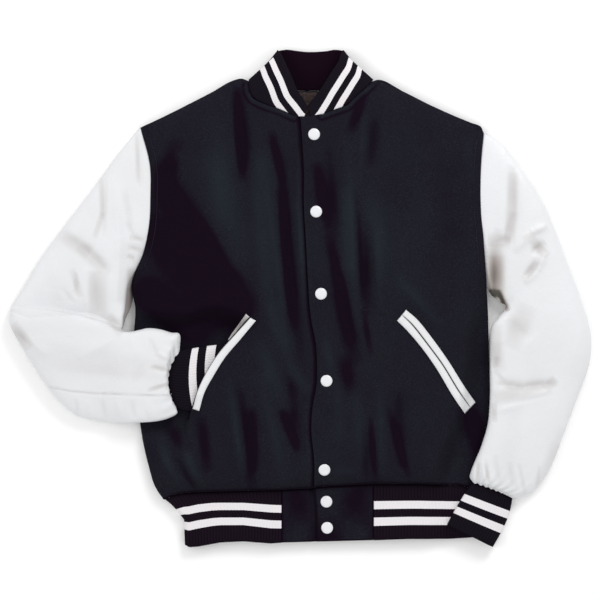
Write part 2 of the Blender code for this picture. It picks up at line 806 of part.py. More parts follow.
def back_panel():
    """The back, flat on the surface, with edges that curl up to the fronts' side seams."""
    left, right = read_curve(LEFT_EDGE, ROWS), read_curve(RIGHT_EDGE, ROWS)
    neck_left = np.column_stack([np.full(len(ROWS), BACK_NECK[0][1]), left[:, 1]])
    neck_right = np.column_stack([np.full(len(ROWS), BACK_NECK[-1][1]), right[:, 1]])
    neck_left[0, 1], neck_right[0, 1] = BACK_NECK[0][2], BACK_NECK[-1][2]
    first = guided_rows(left, neck_left, BACK_SHARES_LEFT, LEFT_SHOULDER)
    last = guided_rows(right, neck_right, BACK_SHARES_RIGHT, RIGHT_SHOULDER)[:, ::-1]
    middle = guided_rows(neck_left, neck_right, BACK_NECK_SHARES, BACK_NECK)
    plan = np.concatenate([first, middle[:, 1:-1], last], axis=1)
    height = np.zeros(plan.shape[:2])
    armhole = ROWS <= UNDERARM
    for column, edge in ((0, left), (-1, right)):
        height[:, column] = np.where(armhole, armhole_low(ROWS), edge[:, 2] - SEAM)
    shoulder = read_line(TOP_LINE, plan[0, :, 0], 2) - SEAM
    corner = len(BACK_SHARES_LEFT)
    height[0, :corner] = shoulder[:corner]
    height[0, -corner:] = shoulder[-corner:]
    height[0, corner:-corner] = 0.0
    index = np.arange(height.size).reshape(height.shape)
    points = np.dstack([plan, height]).reshape(-1, 3)
    faces = [face[::-1] for face in grid_faces(index)]
    upright = np.array([0.0, 0.0, 1.0])
    seams = [(index[-1], across_seam(plan[-1]))]
    seams.append((index[0, :corner], [upright] * corner))
    seams.append((index[0, -corner:], [upright] * corner))
    seams.append((index[0, corner - 1:1 - corner], across_seam(plan[0, corner - 1:1 - corner])))
    for column in (0, -1):
        level = across_seam(plan[:, column])
        for number, row in enumerate(ROWS):
            direction = level[number] if 0.0 < row < UNDERARM else upright
            seams.append(([index[number, column]], [direction]))
    return cloth_wall("back_panel", points, faces, WOOL, WOOL_BLACK, seams)


def neck_lining():
    """The piece of lining that shows inside the neck, lying on the back panel."""
    x = np.linspace(-46, 36, 6)
    share = np.linspace(0, 1, 4)[:, None]
    top = np.interp(x, [row[1] for row in BACK_NECK], [row[2] for row in BACK_NECK]) - LINING_TUCK
    y = top[None, :] * (1 - share) + LINING_LOW * share
    height = np.full(y.shape, WOOL + SEAM + LINING)
    points = np.dstack([np.broadcast_to(x, y.shape), y, height]).reshape(-1, 3)
    index = np.arange(y.size).reshape(y.shape)
    return cloth_wall("neck_lining", points, grid_faces(index), LINING, LINING_BROWN)


# ---------------------------------------------------------------- sleeves and cuffs

def armhole_line(edge_table, outward):
    """Points of the armhole from shoulder to underarm, a seam's gap outside the panels."""
    rows = ROWS[ROWS <= UNDERARM]
    line = read_curve(edge_table, rows)
    away = across_seam(read_curve(edge_table, ROWS))[: len(rows)]
    away *= np.sign(away[:, :1] * outward)
    upper = line + away * [SEAM, SEAM, 0.0]
    lower = upper.copy()
    lower[:, 2] = armhole_low(rows)
    return upper, lower, away


def halved(line):
    """The line with a point halfway between each two of its points, but for the first two."""
    between = (line[1:-1] + line[2:]) / 2
    woven = np.empty((len(line) + len(between), 3))
    woven[:2] = line[:2]
    woven[2::2] = between
    woven[3::2] = line[2:]
    return woven


def ring_plan(row, outward, shares):
    """Where a ring's points lie from above, and the level direction towards the cuff."""
    ax, ay, bx, by, bow = row[:5]
    forward = np.array([ay - by, bx - ax]) * outward / math.hypot(bx - ax, by - ay)
    bend = bow * 4 * shares * (1 - shares)
    return ax + (bx - ax) * shares + forward[0] * bend, ay + (by - ay) * shares + forward[1] * bend, forward


def ring_points(row, outward, shares_top, shares_low):
    """One ring of a sleeve: along the top from A to B and back along the underside."""
    shares = np.concatenate([shares_top, shares_low[1:-1]])
    level = np.concatenate([np.sin(np.pi * np.linspace(0, 1, len(shares_top))) ** 0.75,
                            -np.sin(np.pi * np.linspace(0, 1, len(shares_low)))[1:-1] ** 0.35])
    x, y, forward = ring_plan(row, outward, shares)
    lift, height = row[5:]
    above = np.where(level > 0, SLEEVE_EDGE + (1 - SLEEVE_EDGE) * level, SLEEVE_EDGE * (1 + level))
    z = resting_height(x, y) + lift + height * above
    return np.column_stack([x, y, z + np.maximum(level, 0) * fold_relief(x, y, SLEEVE_FOLDS)])


def sleeve(name, edge_table, rings, outward):
    """A leather sleeve: one flattened tube from the armhole to the closed end at the cuff."""
    upper, lower, away = armhole_line(edge_table, outward)
    top = halved(upper)
    first = np.vstack([top, lower[::-1][1:-1]])
    count_top, count_low = len(top), len(lower)
    shares_top = (1 - np.cos(np.pi * np.linspace(0, 1, count_top))) / 2
    shares_low = (1 + np.cos(np.pi * np.linspace(0, 1, count_low))) / 2
    loops = [first]
    for row in rings:
        loops.append(ring_points(row, outward, shares_top, shares_low))
    points = np.vstack(loops)
    index = np.arange(len(points)).reshape(len(loops), -1)
    faces = grid_faces(index, closed=True)
    if outward > 0:
        faces = [face[::-1] for face in faces]
    directions = np.vstack([halved(away), away[::-1][1:-1]])
    return cloth_wall(name, points, faces, LEATHER, LEATHER_WHITE, [(index[0], directions)])


def cuff(name, rings, outward):
    """A flat knit tube with ribs along its upper side."""
    width = math.hypot(rings[0][2] - rings[0][0], rings[0][3] - rings[0][1])
    ribs = int(round(width / RIB_PITCH))
    top = np.linspace(0, 1, 2 * ribs + 1)
    low = np.array([0.97, 0.85, 0.6, 0.4, 0.15, 0.03])
    shares = np.concatenate([top, low])
    bulge = np.sqrt(1 - np.abs(2 * shares - 1) ** 8)
    bulge[len(top):] *= -1
    relief = np.zeros(len(shares))
    relief[1:2 * ribs:2] = RIB_RELIEF
    loops = []
    for number, row in enumerate(rings):
        x, y, forward = ring_plan(row, outward, shares)
        ahead = forward * (SEAM + 0.3 if number == 0 else 0.0)
        z = resting_height(x, y) + row[5] + row[6] / 2 * (1 + bulge)
        loops.append(np.column_stack([x + ahead[0], y + ahead[1], z]))
    points = np.vstack(loops)
    index = np.arange(len(points)).reshape(len(loops), -1)
    faces = grid_faces(index, closed=True)
    if outward > 0:
        faces = [face[::-1] for face in faces]
    return cloth_wall(name, points, faces, KNIT, KNIT_BLACK, relief=np.tile(relief, len(loops)))


# ---------------------------------------------------------------- collar, hem band and tabs

def neck_seam(distances):
    """Points beside the neck seam, a gap's width towards the collar, from front to front."""
    left = read_curve(LEFT_NECK, LEFT_NECK_SHARES)[::-1]
    back = read_curve(BACK_NECK, BACK_NECK_SHARES)
    right = read_curve(RIGHT_NECK, RIGHT_NECK_SHARES)
    pieces = ((np.vstack([NECK_ENDS[0], left]), 1), (back, -1), (np.vstack([right, NECK_ENDS[1]]), 1))
    points, away = [], []
    for line, turn in pieces:
        run = np.concatenate([[0.0], np.cumsum(np.hypot(*np.diff(line, axis=0).T))])
        fine = np.arange(0.5, run[-1], 1.0)
        line = np.column_stack([np.interp(fine, run, line[:, 0]), np.interp(fine, run, line[:, 1])])
        points.append(line)
        away.append(across_seam(line)[:, :2] * turn)
    points, away = np.vstack(points), np.vstack(away)
    spread = np.ones(13) / 13
    padded = np.pad(away, ((6, 6), (0, 0)), mode="edge")
    away = np.column_stack([np.convolve(padded[:, axis], spread, mode="valid") for axis in (0, 1)])
    away /= np.linalg.norm(away, axis=1)[:, None]
    moved = points + away * (SEAM + NECK_EASE)
    number = distances * (len(moved) - 1) / COLLAR[-1][3]
    return np.column_stack([np.interp(number, np.arange(len(moved)), moved[:, axis]) for axis in (0, 1)])


def collar():
    """The knit collar: one band from front to front, folded at both sides of the neck."""
    rows = np.array(COLLAR, float)
    seam_points = np.column_stack([neck_seam(rows[:, 3]), rows[:, 4]])
    middle = (rows[:, :3] + seam_points) / 2
    run = np.concatenate([[0.0], np.cumsum(np.linalg.norm(np.diff(middle, axis=0), axis=1))])
    ribs = int(round(run[-1] / RIB_PITCH))
    along = np.linspace(0, run[-1], 2 * ribs + 1)
    sections = read_curve(np.column_stack([run, rows]), along)
    sewn = np.column_stack([neck_seam(sections[:, 3]), sections[:, 4]])
    shares = np.array([0.0, 0.35, 0.7, 1.0])[:, None, None]
    grid = sections[None, :, :3] * (1 - shares) + sewn[None] * shares
    index = np.arange(grid.shape[0] * grid.shape[1]).reshape(grid.shape[:2])
    relief = np.zeros(grid.shape[:2])
    relief[:, 1:2 * ribs:2] = RIB_RELIEF
    relief[:, grid[1, :, 2] < COLLAR_FLAT] = 0.0
    seam = [(index[-1], across_seam(grid[-1]))]
    grid[..., 2] = np.maximum(grid[..., 2], KNIT + SEAM)
    points = grid.reshape(-1, 3)
    faces = grid_faces(index)
    return cloth_wall("collar_rib", points, faces, KNIT, KNIT_BLACK, seam, relief.reshape(-1))


def hem_rib():
    """The knit hem band: from the left tab round the back to the right tab."""
    radius = HEM_TOP / 2
    folds = np.array([read_line(HEM_FOLD, share, column) for share in HEM_ROWS
                      for column in (1, 2)]).reshape(-1, 2)
    left_ribs = int(round((LEFT_TAB_END - folds[:, 0].mean() - radius) / RIB_PITCH))
    right_ribs = int(round((folds[:, 1].mean() - radius - RIGHT_TAB_END) / RIB_PITCH))
    points, relief = [], []
    for share, (left, right) in zip(HEM_ROWS, folds):
        turn = np.linspace(0, math.pi, 7)[1:-1]
        x = np.concatenate([
            np.linspace(LEFT_TAB_END - SEAM, left + radius, 2 * left_ribs + 1),
            left + radius - radius * np.sin(turn),
            np.linspace(left + radius, right - radius, 13),
            right - radius + radius * np.sin(turn),
            np.linspace(right - radius, RIGHT_TAB_END + SEAM, 2 * right_ribs + 1)])
        layer = np.concatenate([
            np.ones(2 * left_ribs + 1), (1 + np.cos(turn)) / 2, np.zeros(13),
            (1 - np.cos(turn)) / 2, np.ones(2 * right_ribs + 1)])
        raised = np.zeros(len(x))
        raised[1:2 * left_ribs:2] = RIB_RELIEF
        raised[len(x) - 2 * right_ribs:len(x) - 1:2] = RIB_RELIEF
        seam_y = read_line(HEM_SEAM, x) - SEAM - HEM_EASE * (1.2 - layer)
        y = seam_y * (1 - share) + read_line(HEM_EDGE, x) * share
        points.append(np.column_stack([x, y, hem_height(x) * layer]))
        relief.append(raised)
    points = np.array(points)
    index = np.arange(points.shape[0] * points.shape[1]).reshape(points.shape[:2])
    seam = [(index[0], across_seam(points[0]))]
    seam.append((index[:, 0], [np.array([1.0, 0.0, 0.0])] * len(HEM_ROWS)))
    seam.append((index[:, -1], [np.array([1.0, 0.0, 0.0])] * len(HEM_ROWS)))
    faces = [face[::-1] for face in grid_faces(index)]
    flat = points.reshape(-1, 3)
    return cloth_wall("hem_rib", flat, faces, KNIT, KNIT_BLACK, seam, np.array(relief).reshape(-1))


def tab(name, columns, heights):
    """One doubled wool end of the waistband; columns give x for the seam, middle and edge."""
    shares = np.array([0.0, 0.5, 1.0])
    x = np.array([columns(read_line(TAB_EDGE, -273.0 - 80.0 * share)) for share in shares])
    seam_y = read_line(HEM_SEAM, x) - SEAM - 0.2 * HEM_EASE
    y = seam_y * (1 - shares[:, None]) + read_line(HEM_EDGE, x) * shares[:, None]
    z = np.broadcast_to(np.asarray(heights, float), x.shape)
    index = np.arange(x.size).reshape(x.shape)
    points = np.dstack([x, y, z]).reshape(-1, 3)
    seam = [(index[0], across_seam(np.dstack([x, y])[0]))]
    return cloth_wall(name, points, grid_faces(index), TAB, WOOL_BLACK, seam)


def left_tab():
    def columns(edge):
        return [LEFT_TAB_END, -20.0, edge - 10.0, edge - 2.5] + [edge + step for step in PLACKET]

    return tab("tab_left", columns, [HEM_TOP] * 3 + [HEM_TOP - TAB - TAB_STEP] * 5)


def right_tab():
    def columns(edge):
        return [edge] + [edge + step for step in PLACKET] + [55.0, 72.0, RIGHT_TAB_END]

    return tab("tab_right", columns, [HEM_TOP] * 8)


# ---------------------------------------------------------------- what lies on the panels

def surface_over(made):
    """A search tree over an object's faces, in millimetres."""
    points = [vertex.co / METRES for vertex in made.data.vertices]
    return BVHTree.FromPolygons(points, [tuple(face.vertices) for face in made.data.polygons])


def heights_on(tree, x, y, reach):
    """Highest point of the surface within reach of x, y."""
    found = []
    for angle in np.linspace(0, 2 * math.pi, 8, endpoint=False):
        for radius in (0.0, reach):
            start = Vector((x + radius * math.cos(angle), y + radius * math.sin(angle), 100.0))
            hit = tree.ray_cast(start, Vector((0.0, 0.0, -1.0)))[0]
            if hit is not None:
                found.append(hit.z)
    return max(found)


def lifted_clear(tree, grid, gap):
    """The grid raised where its quads would come nearer to the surface than the gap."""
    shares = (0.0, 0.25, 0.5, 0.75, 1.0)
    for i in range(grid.shape[0] - 1):
        for j in range(grid.shape[1] - 1):
            corners = grid[i:i + 2, j:j + 2]
            for a in shares:
                for b in shares:
                    weights = np.array([[(1 - a) * (1 - b), (1 - a) * b], [a * (1 - b), a * b]])
                    x, y, z = (corners * weights[..., None]).sum(axis=(0, 1))
                    missing = heights_on(tree, x, y, 0.4) + gap - z
                    corners[..., 2] += max(missing, 0.0)
    return grid


def welt(name, table, panel):
    """A folded leather strip that lies on its panel's own points, moved out."""
    tree = surface_over(panel)
    rows = np.array(table, float)
    number = np.arange(len(rows))
    fine = read_curve(np.column_stack([number, rows]), np.linspace(0, number[-1], 11))
    shares = np.array([0.0, 0.5, 1.0])[:, None, None]
    plan = fine[None, :, :2] * (1 - shares) + fine[None, :, 2:] * shares
    cloth = np.array([[heights_on(tree, x, y, 0.4) for x, y in line] for line in plan])
    grid = lifted_clear(tree, np.dstack([plan, cloth]), 1.4 * SEAM)
    grid[..., 2] += WELT
    points = grid.reshape(-1, 3)
    index = np.arange(len(points)).reshape(grid.shape[:2])
    faces = grid_faces(index)
    if point_normals(points, faces)[:, 2].mean() < 0:
        faces = [face[::-1] for face in faces]
    return cloth_wall(name, points, faces, WELT, LEATHER_WHITE, level=True)


def snap_mesh():
    """The domed cap of a snap, turned about its own axis."""
    profile = [(0.0, SNAP_HEIGHT), (0.45, 0.93 * SNAP_HEIGHT), (0.8, 0.68 * SNAP_HEIGHT),
               (0.97, 0.36 * SNAP_HEIGHT), (1.0, 0.12 * SNAP_HEIGHT), (0.9, 0.0)]
    around = np.linspace(0, 2 * math.pi, 14, endpoint=False)
    points = [(0.0, 0.0, profile[0][1])]
    for share, z in profile[1:]:
        points += [(SNAP_RADIUS * share * math.cos(a), SNAP_RADIUS * share * math.sin(a), z)
                   for a in around]
    count = len(around)
    faces = [(0, 1 + i, 1 + (i + 1) % count) for i in range(count)]
    for loop in range(len(profile) - 2):
        start = 1 + loop * count
        faces += [(start + i, start + count + i, start + count + (i + 1) % count, start + (i + 1) % count)
                  for i in range(count)]
    last = 1 + (len(profile) - 2) * count
    faces.append(tuple(last + i for i in reversed(range(count))))
    mesh = bpy.data.meshes.new("snap")
    mesh.from_pydata([(x * METRES, y * METRES, z * METRES) for x, y, z in points], [], faces)
    mesh.materials.append(material(SNAP_WHITE))
    mesh.shade_smooth()
    mesh.set_sharp_from_angle(angle=math.radians(SHARP))
    return mesh


def place_snap(name, x, y, mesh, panel):
    """One snap, tilted to the cloth under it and just clear of it."""
    tree = surface_over(panel)
    around = np.linspace(0, 2 * math.pi, 12, endpoint=False)
    spots = [(0.0, 0.0)] + [(SNAP_RADIUS * math.cos(a), SNAP_RADIUS * math.sin(a)) for a in around]
    heights = np.array([heights_on(tree, x + dx, y + dy, 0.5) for dx, dy in spots])
    plane = np.column_stack([np.array(spots), np.ones(len(spots))])
    slope_x, slope_y, middle = np.linalg.lstsq(plane, heights, rcond=None)[0]
    lift = (heights - plane @ [slope_x, slope_y, middle]).max() + SEAM
    made = bpy.data.objects.new(name, mesh)
    bpy.context.scene.collection.objects.link(made)
    made.parent = JACKET
    normal = Vector((-slope_x, -slope_y, 1.0)).normalized()
    made.location = Vector((x, y, middle + lift)) * METRES
    made.rotation_euler = normal.to_track_quat("Z", "Y").to_euler()
    return made


# ---------------------------------------------------------------- building the jacket

JACKET = bpy.data.objects.new("jacket", None)
bpy.context.scene.collection.objects.link(JACKET)

back_panel()
under_front = left_front()
upper_front = right_front()
neck_lining()
hem_rib()
left_tab()
upper_tab = right_tab()
collar()
sleeve("sleeve_left", LEFT_EDGE, LEFT_RINGS, -1)
sleeve("sleeve_right", RIGHT_EDGE, RIGHT_RINGS, 1)
cuff("cuff_left", LEFT_CUFF, -1)
cuff("cuff_right", RIGHT_CUFF, 1)
welt("welt_left_front", LEFT_FRONT_WELT, under_front)
welt("welt_left_back", LEFT_BACK_WELT, under_front)
welt("welt_right_upper", RIGHT_UPPER_WELT, upper_front)
welt("welt_right_lower", RIGHT_LOWER_WELT, upper_front)
cap = snap_mesh()
for snap_name, snap_x, snap_y in SNAPS:
    place_snap(snap_name, snap_x, snap_y, cap, upper_tab if snap_y < -270 else upper_front)
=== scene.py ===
"""Looks of a varsity jacket that lies flat on its back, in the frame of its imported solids.

Each piece that a maker cuts is a surface worked out with numpy from its sizes, in millimetres:
X to the right as seen from above, Y to the collar, Z up, with the back's underside at Z = 0.
"""

import math

import bpy
import numpy as np
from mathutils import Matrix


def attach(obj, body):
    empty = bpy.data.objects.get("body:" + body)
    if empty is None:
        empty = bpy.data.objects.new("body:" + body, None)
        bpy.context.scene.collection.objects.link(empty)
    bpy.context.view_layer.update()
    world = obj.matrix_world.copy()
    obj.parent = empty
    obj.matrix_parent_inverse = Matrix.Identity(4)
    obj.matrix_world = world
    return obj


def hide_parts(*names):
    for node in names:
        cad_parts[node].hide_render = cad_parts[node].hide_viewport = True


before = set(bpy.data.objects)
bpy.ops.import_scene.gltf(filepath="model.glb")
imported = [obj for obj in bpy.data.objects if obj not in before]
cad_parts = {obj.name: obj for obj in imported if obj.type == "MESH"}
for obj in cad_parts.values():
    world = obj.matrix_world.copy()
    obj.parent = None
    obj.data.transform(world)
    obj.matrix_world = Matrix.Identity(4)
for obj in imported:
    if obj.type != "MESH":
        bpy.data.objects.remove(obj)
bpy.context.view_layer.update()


# ---------------------------------------------------------------- camera, floor and light
# A camera straight above, far off with a long lens, over a pale floor.  A large soft lamp
# stands beyond the right shoulder and weaker ones fill the sides, as in a light tent.

FRAME_WIDTH, FRAME_MIDDLE_X, VIEW_PLANE = 0.87, -0.0174, 0.025
LENS, SENSOR, FAR_CLIP = 200.0, 36.0, 50.0
camera = bpy.data.objects.new("camera", bpy.data.cameras.new("camera"))
bpy.context.scene.collection.objects.link(camera)
camera.data.lens, camera.data.sensor_width = LENS, SENSOR
camera.location = (FRAME_MIDDLE_X, 0.0, VIEW_PLANE + FRAME_WIDTH * LENS / SENSOR)
camera.data.clip_end = FAR_CLIP
bpy.context.scene.camera = camera
bpy.context.scene.view_settings.view_transform = "Standard"


def painted(name, colour, roughness, specular=0.5):
    """A material with one Principled shader, its constant looks set on the sockets."""
    made = bpy.data.materials.new(name)
    made.use_nodes = True
    shader = made.node_tree.nodes["Principled BSDF"]
    shader.inputs["Base Color"].default_value = (*colour, 1.0)
    shader.inputs["Roughness"].default_value = roughness
    shader.inputs["Specular IOR Level"].default_value = specular
    return made, made.node_tree, shader


FLOOR_HALF, FLOOR_DROP, FLOOR_WHITE = 15.0, 0.0006, (0.97, 0.97, 0.97)
floor_corners = [(x * FLOOR_HALF, y * FLOOR_HALF, -FLOOR_DROP)
                 for x, y in ((-1, -1), (1, -1), (1, 1), (-1, 1))]
floor_mesh = bpy.data.meshes.new("floor")
floor_mesh.from_pydata(floor_corners, [], [(0, 1, 2, 3)])
floor_mesh.materials.append(painted("floor paper", FLOOR_WHITE, roughness=0.9, specular=0.0)[0])
floor = bpy.data.objects.new("floor", floor_mesh)
bpy.context.scene.collection.objects.link(floor)

LAMPS = [
    # name,        x,    y,   z,  width, height, watts
    ("lamp_key", 1.1, 1.9, 1.7, 1.1, 1.1, 33.0),
    ("lamp_left", -2.2, 0.3, 2.0, 1.8, 1.8, 18.0),
    ("lamp_low", 0.3, -2.3, 2.0, 1.8, 1.8, 12.0),
]
for lamp_name, x, y, z, width, height, watts in LAMPS:
    lamp = bpy.data.lights.new(lamp_name, "AREA")
    lamp.shape, lamp.size, lamp.size_y, lamp.energy = "RECTANGLE", width, height, watts
    placed = bpy.data.objects.new(lamp_name, lamp)
    placed.location = (x, y, z)
    placed.rotation_euler = (-placed.location.normalized()).to_track_quat("-Z", "Y").to_euler()
    bpy.context.scene.collection.objects.link(placed)
WORLD_WHITE, WORLD_STRENGTH = (1.0, 1.0, 1.0, 1.0), 0.72
world = bpy.data.worlds.new("studio")
world.use_nodes = True
background = world.node_tree.nodes["Background"]
background.inputs["Color"].default_value = WORLD_WHITE
background.inputs["Strength"].default_value = WORLD_STRENGTH
bpy.context.scene.world = world


# ---------------------------------------------------------------- back panel
# One panel of black melton wool, flat on the floor, its edges curled up to the fronts' seams.
# It is sewn to the fronts at the shoulders and sides and to the sleeves along the armholes.

METRES = 0.001
SEAM, WOOL_THICK = 0.4, 2.2
TIP_HEIGHT, UNDERARM_HEIGHT, CURL = 8.0, 9.0, 1.4
UNDERARM_ROW, LAST_ROW = 9.0, 21.0
TOP_DRAWN, HEM_DRAWN_FROM = 7.0, 17.0
LEFT_EDGE = [
    # row,   x,    y,   z
    (0.0, -249.5, 251, 8), (1.8, -236, 203, 18), (4.0, -234, 152, 24), (5.7, -236, 109, 23),
    (7.4, -245, 67, 17), (9.0, -262, 25, 9), (10.6, -257, -14, 8), (12.0, -259, -50, 8),
    (15.0, -255, -128, 8), (17.0, -250, -180, 8), (19.3, -238, -240, 8), (20.3, -228, -272, 9),
    (21.0, -216, -290, 10),
]
RIGHT_EDGE = [
    # row,   x,   y,   z
    (0.0, 250, 243, 8), (1.4, 246, 210, 17), (3.2, 244, 167, 24), (5.0, 245, 123, 24),
    (6.3, 248, 94, 22), (7.7, 251, 56, 18), (9.0, 254, 18, 9), (10.2, 256, -14, 8),
    (12.0, 257, -58, 8), (13.7, 258, -102, 8), (15.5, 258, -149, 8), (17.0, 255, -188, 8),
    (18.5, 251, -225, 8), (20.0, 245, -258, 8), (21.0, 238, -281, 8),
]
LEFT_SHOULDER = [
    # share, x, y
    (0.00, -249.5, 251), (0.25, -213, 268), (0.47, -177, 286), (0.68, -144, 303),
    (0.86, -115, 319), (0.93, -103, 322), (1.00, -91, 318),
]
RIGHT_SHOULDER = [
    # share, x, y
    (0.00, 250, 243), (0.05, 245.5, 252.3), (0.12, 233, 257.4), (0.27, 209, 267),
    (0.50, 171, 284), (0.73, 133, 303), (0.96, 94, 320), (1.00, 88, 318),
]
BACK_NECK = [
    # share, x, y
    (0.00, -91, 318), (0.15, -68, 310), (0.32, -39, 305), (0.50, -6, 304),
    (0.68, 28, 305), (0.85, 57, 310), (1.00, 88, 318),
]
HEM_SEAM = [
    # x,    y
    (-216, -290), (-212.7, -290), (-204.8, -285.4), (-195.5, -282.6), (-186.3, -280.9),
    (-177, -279.9), (-167.8, -279.3), (-44, -276), (0, -274), (10, -271.5), (90, -267.5),
    (157, -267.5), (215.4, -269.5), (231.4, -274), (238, -281),
]
TOP_LINE = [
    # x,    y,   z
    (-249, 249, 8), (-213, 268, 8.9), (-177, 286, 9.8), (-144, 303, 10.7), (-115, 319, 11.4),
    (-103, 322, 11.7), (-91, 318, 12), (-80, 322, 22), (-60, 330, 26), (60, 330, 26),
    (78, 322, 22), (88, 318, 12), (94, 320, 11.8), (133, 303, 10.9), (171, 284, 9.9),
    (209, 267, 9), (249, 246, 8),
]


def read_curve(table, at):
    """Later columns of a table at values of its first: cubic pieces whose slopes are the
    table's own differences, so the curve passes smoothly through every row."""
    rows = np.array(table, float)
    key, value = rows[:, 0], rows[:, 1:]
    at = np.clip(np.atleast_1d(np.asarray(at, float)), key[0], key[-1])
    slope = np.gradient(value, key, axis=0)
    low = np.clip(np.searchsorted(key, at, side="right") - 1, 0, len(key) - 2)
    span = (key[low + 1] - key[low])[:, None]
    t = (at - key[low])[:, None] / span
    return (value[low] * (1 + 2 * t) * (1 - t) ** 2 + slope[low] * span * t * (1 - t) ** 2
            + value[low + 1] * t ** 2 * (3 - 2 * t) + slope[low + 1] * span * t ** 2 * (t - 1))


def read_numbered(table, at):
    """The same for a table without that first column, at its rows' numbers."""
    return read_curve(np.column_stack([np.arange(len(table)), table]), at)


def read_line(table, at, column=1):
    """One column of a table at values of its first, along straight lines."""
    rows = np.array(table, float)
    return np.interp(at, rows[:, 0], rows[:, column])


def guided_rows(start, end, shares, top_curve, rows):
    """Plan grid between two lines down the panel: straight shares between them, drawn to
    top_curve over the first rows and to the hem seam over the last ones."""
    share = np.asarray(shares, float)[None, :, None]
    grid = start[:, None, :2] * (1 - share) + end[:, None, :2] * share
    pull = np.clip(1 - rows / TOP_DRAWN, 0, 1)[:, None, None] ** 2
    grid = grid + (read_curve(top_curve, shares) - grid[0])[None] * pull
    fade = np.clip((rows - HEM_DRAWN_FROM) / (LAST_ROW - HEM_DRAWN_FROM), 0.0, 1.0)[:, None] ** 2
    grid[..., 1] += (read_line(HEM_SEAM, grid[-1, :, 0]) - grid[-1, :, 1])[None] * fade
    return grid


def crowded(count, power):
    """Shares from 0 to 1 that lie closer together near 0."""
    return np.linspace(0, 1, count) ** power


def quads(index):
    """Four point numbers for each cell of a grid of point numbers."""
    cells = (index[:-1, :-1], index[1:, :-1], index[1:, 1:], index[:-1, 1:])
    return np.stack(cells, axis=-1).reshape(-1, 4)


def numbered(grid):
    """The numbers of a grid's points, row by row."""
    return np.arange(grid.shape[0] * grid.shape[1]).reshape(grid.shape[:2])


def looped(index):
    """The same grid with its first column again at the end, for a tube."""
    return np.column_stack([index, index[:, :1]])


def piece(name, points, faces, material, thickness=0.0, uv=None, tone=None):
    """One object from points in millimetres and faces, with a wall of cloth inside them.
    uv has a value for each face corner; tone is painted light and shade, -1 for painted shade in a trough up
    to 1 for painted light on a ridge."""
    used, faces_used = np.unique(faces, return_inverse=True)
    mesh = bpy.data.meshes.new(name)
    places = points.reshape(-1, 3)[used] * METRES
    mesh.from_pydata(places.tolist(), [], faces_used.reshape(faces.shape).tolist())
    if uv is not None:
        mesh.uv_layers.new(name="UVMap").data.foreach_set("uv", np.asarray(uv, np.float32).ravel())
    level = np.zeros(len(used)) if tone is None else np.clip(tone.ravel()[used], -1, 1)
    mesh.attributes.new("tone", "FLOAT", "POINT").data.foreach_set("value", level.astype(np.float32))
    mesh.materials.append(material)
    mesh.shade_smooth()
    made = bpy.data.objects.new(name, mesh)
    bpy.context.scene.collection.objects.link(made)
    if thickness:
        wall = made.modifiers.new("wall", "SOLIDIFY")
        wall.thickness, wall.offset = thickness * METRES, -1.0
    return made


def joined(tree, socket, value):
    """A socket fed by another socket, or set to a number or a colour."""
    if isinstance(value, bpy.types.NodeSocket):
        tree.links.new(value, socket)
    else:
        socket.default_value = (*value, 1.0) if socket.type == "RGBA" else value


def node(tree, kind, **inputs):
    """A node of that kind with its named inputs joined."""
    made = tree.nodes.new(kind)
    for key, value in inputs.items():
        joined(tree, made.inputs[key.replace("_", " ")], value)
    return made


def calc(tree, operation, first, second=0.0, clamp=False):
    """The result of a Math node on two numbers or sockets."""
    made = tree.nodes.new("ShaderNodeMath")
    made.operation, made.use_clamp = operation, clamp
    joined(tree, made.inputs[0], first)
    joined(tree, made.inputs[1], second)
    return made.outputs[0]


def scaled(tree, value, factor, start=0.0):
    """value times factor plus start, kept from 0 to 1."""
    return calc(tree, "ADD", calc(tree, "MULTIPLY", value, factor), start, clamp=True)


def mixed(tree, factor, first, second):
    """A colour between two colours."""
    made = tree.nodes.new("ShaderNodeMix")
    made.data_type = "RGBA"
    for socket, value in ((made.inputs[0], factor), (made.inputs[6], first), (made.inputs[7], second)):
        joined(tree, socket, value)
    return made.outputs[2]


def sockets(group, **named):
    """Float sockets of a node group, each IN or OUT."""
    for key, side in named.items():
        group.interface.new_socket(key, in_out=side + "PUT", socket_type="NodeSocketFloat")
    return group.nodes.new("NodeGroupInput"), group.nodes.new("NodeGroupOutput")


def grouped(tree, group, **values):
    """The outputs of the group placed in a material, with that material's own values."""
    made = tree.nodes.new("ShaderNodeGroup")
    made.node_tree = group
    for key, value in values.items():
        made.inputs[key].default_value = value
    return made.outputs


def bumped(tree, shader, height, distance, strength):
    """A bump of that depth in metres on the shader's normal."""
    bump = node(tree, "ShaderNodeBump", Height=height, Distance=distance, Strength=strength)
    joined(tree, shader.inputs["Normal"], bump.outputs[0])


def object_place(tree):
    return tree.nodes.new("ShaderNodeTexCoord").outputs["Object"]


# Reads the tone attribute: painted light and shade.
def painted_shading_of(tree):
    made = tree.nodes.new("ShaderNodeAttribute")
    made.attribute_name = "tone"
    return made.outputs["Fac"]


def noise(tree, place, scale, detail=3.0):
    """Values of a noise, mostly from 0.3 to 0.7."""
    return node(tree, "ShaderNodeTexNoise", Vector=place, Scale=scale, Detail=detail).outputs["Fac"]


FIBRE_LAYERS = [
    # turn, stretch
    (0.5, 3.2), (-0.7, 2.6),
]
PILL_SCALE, PILL_SHARE = 260.0, 0.6


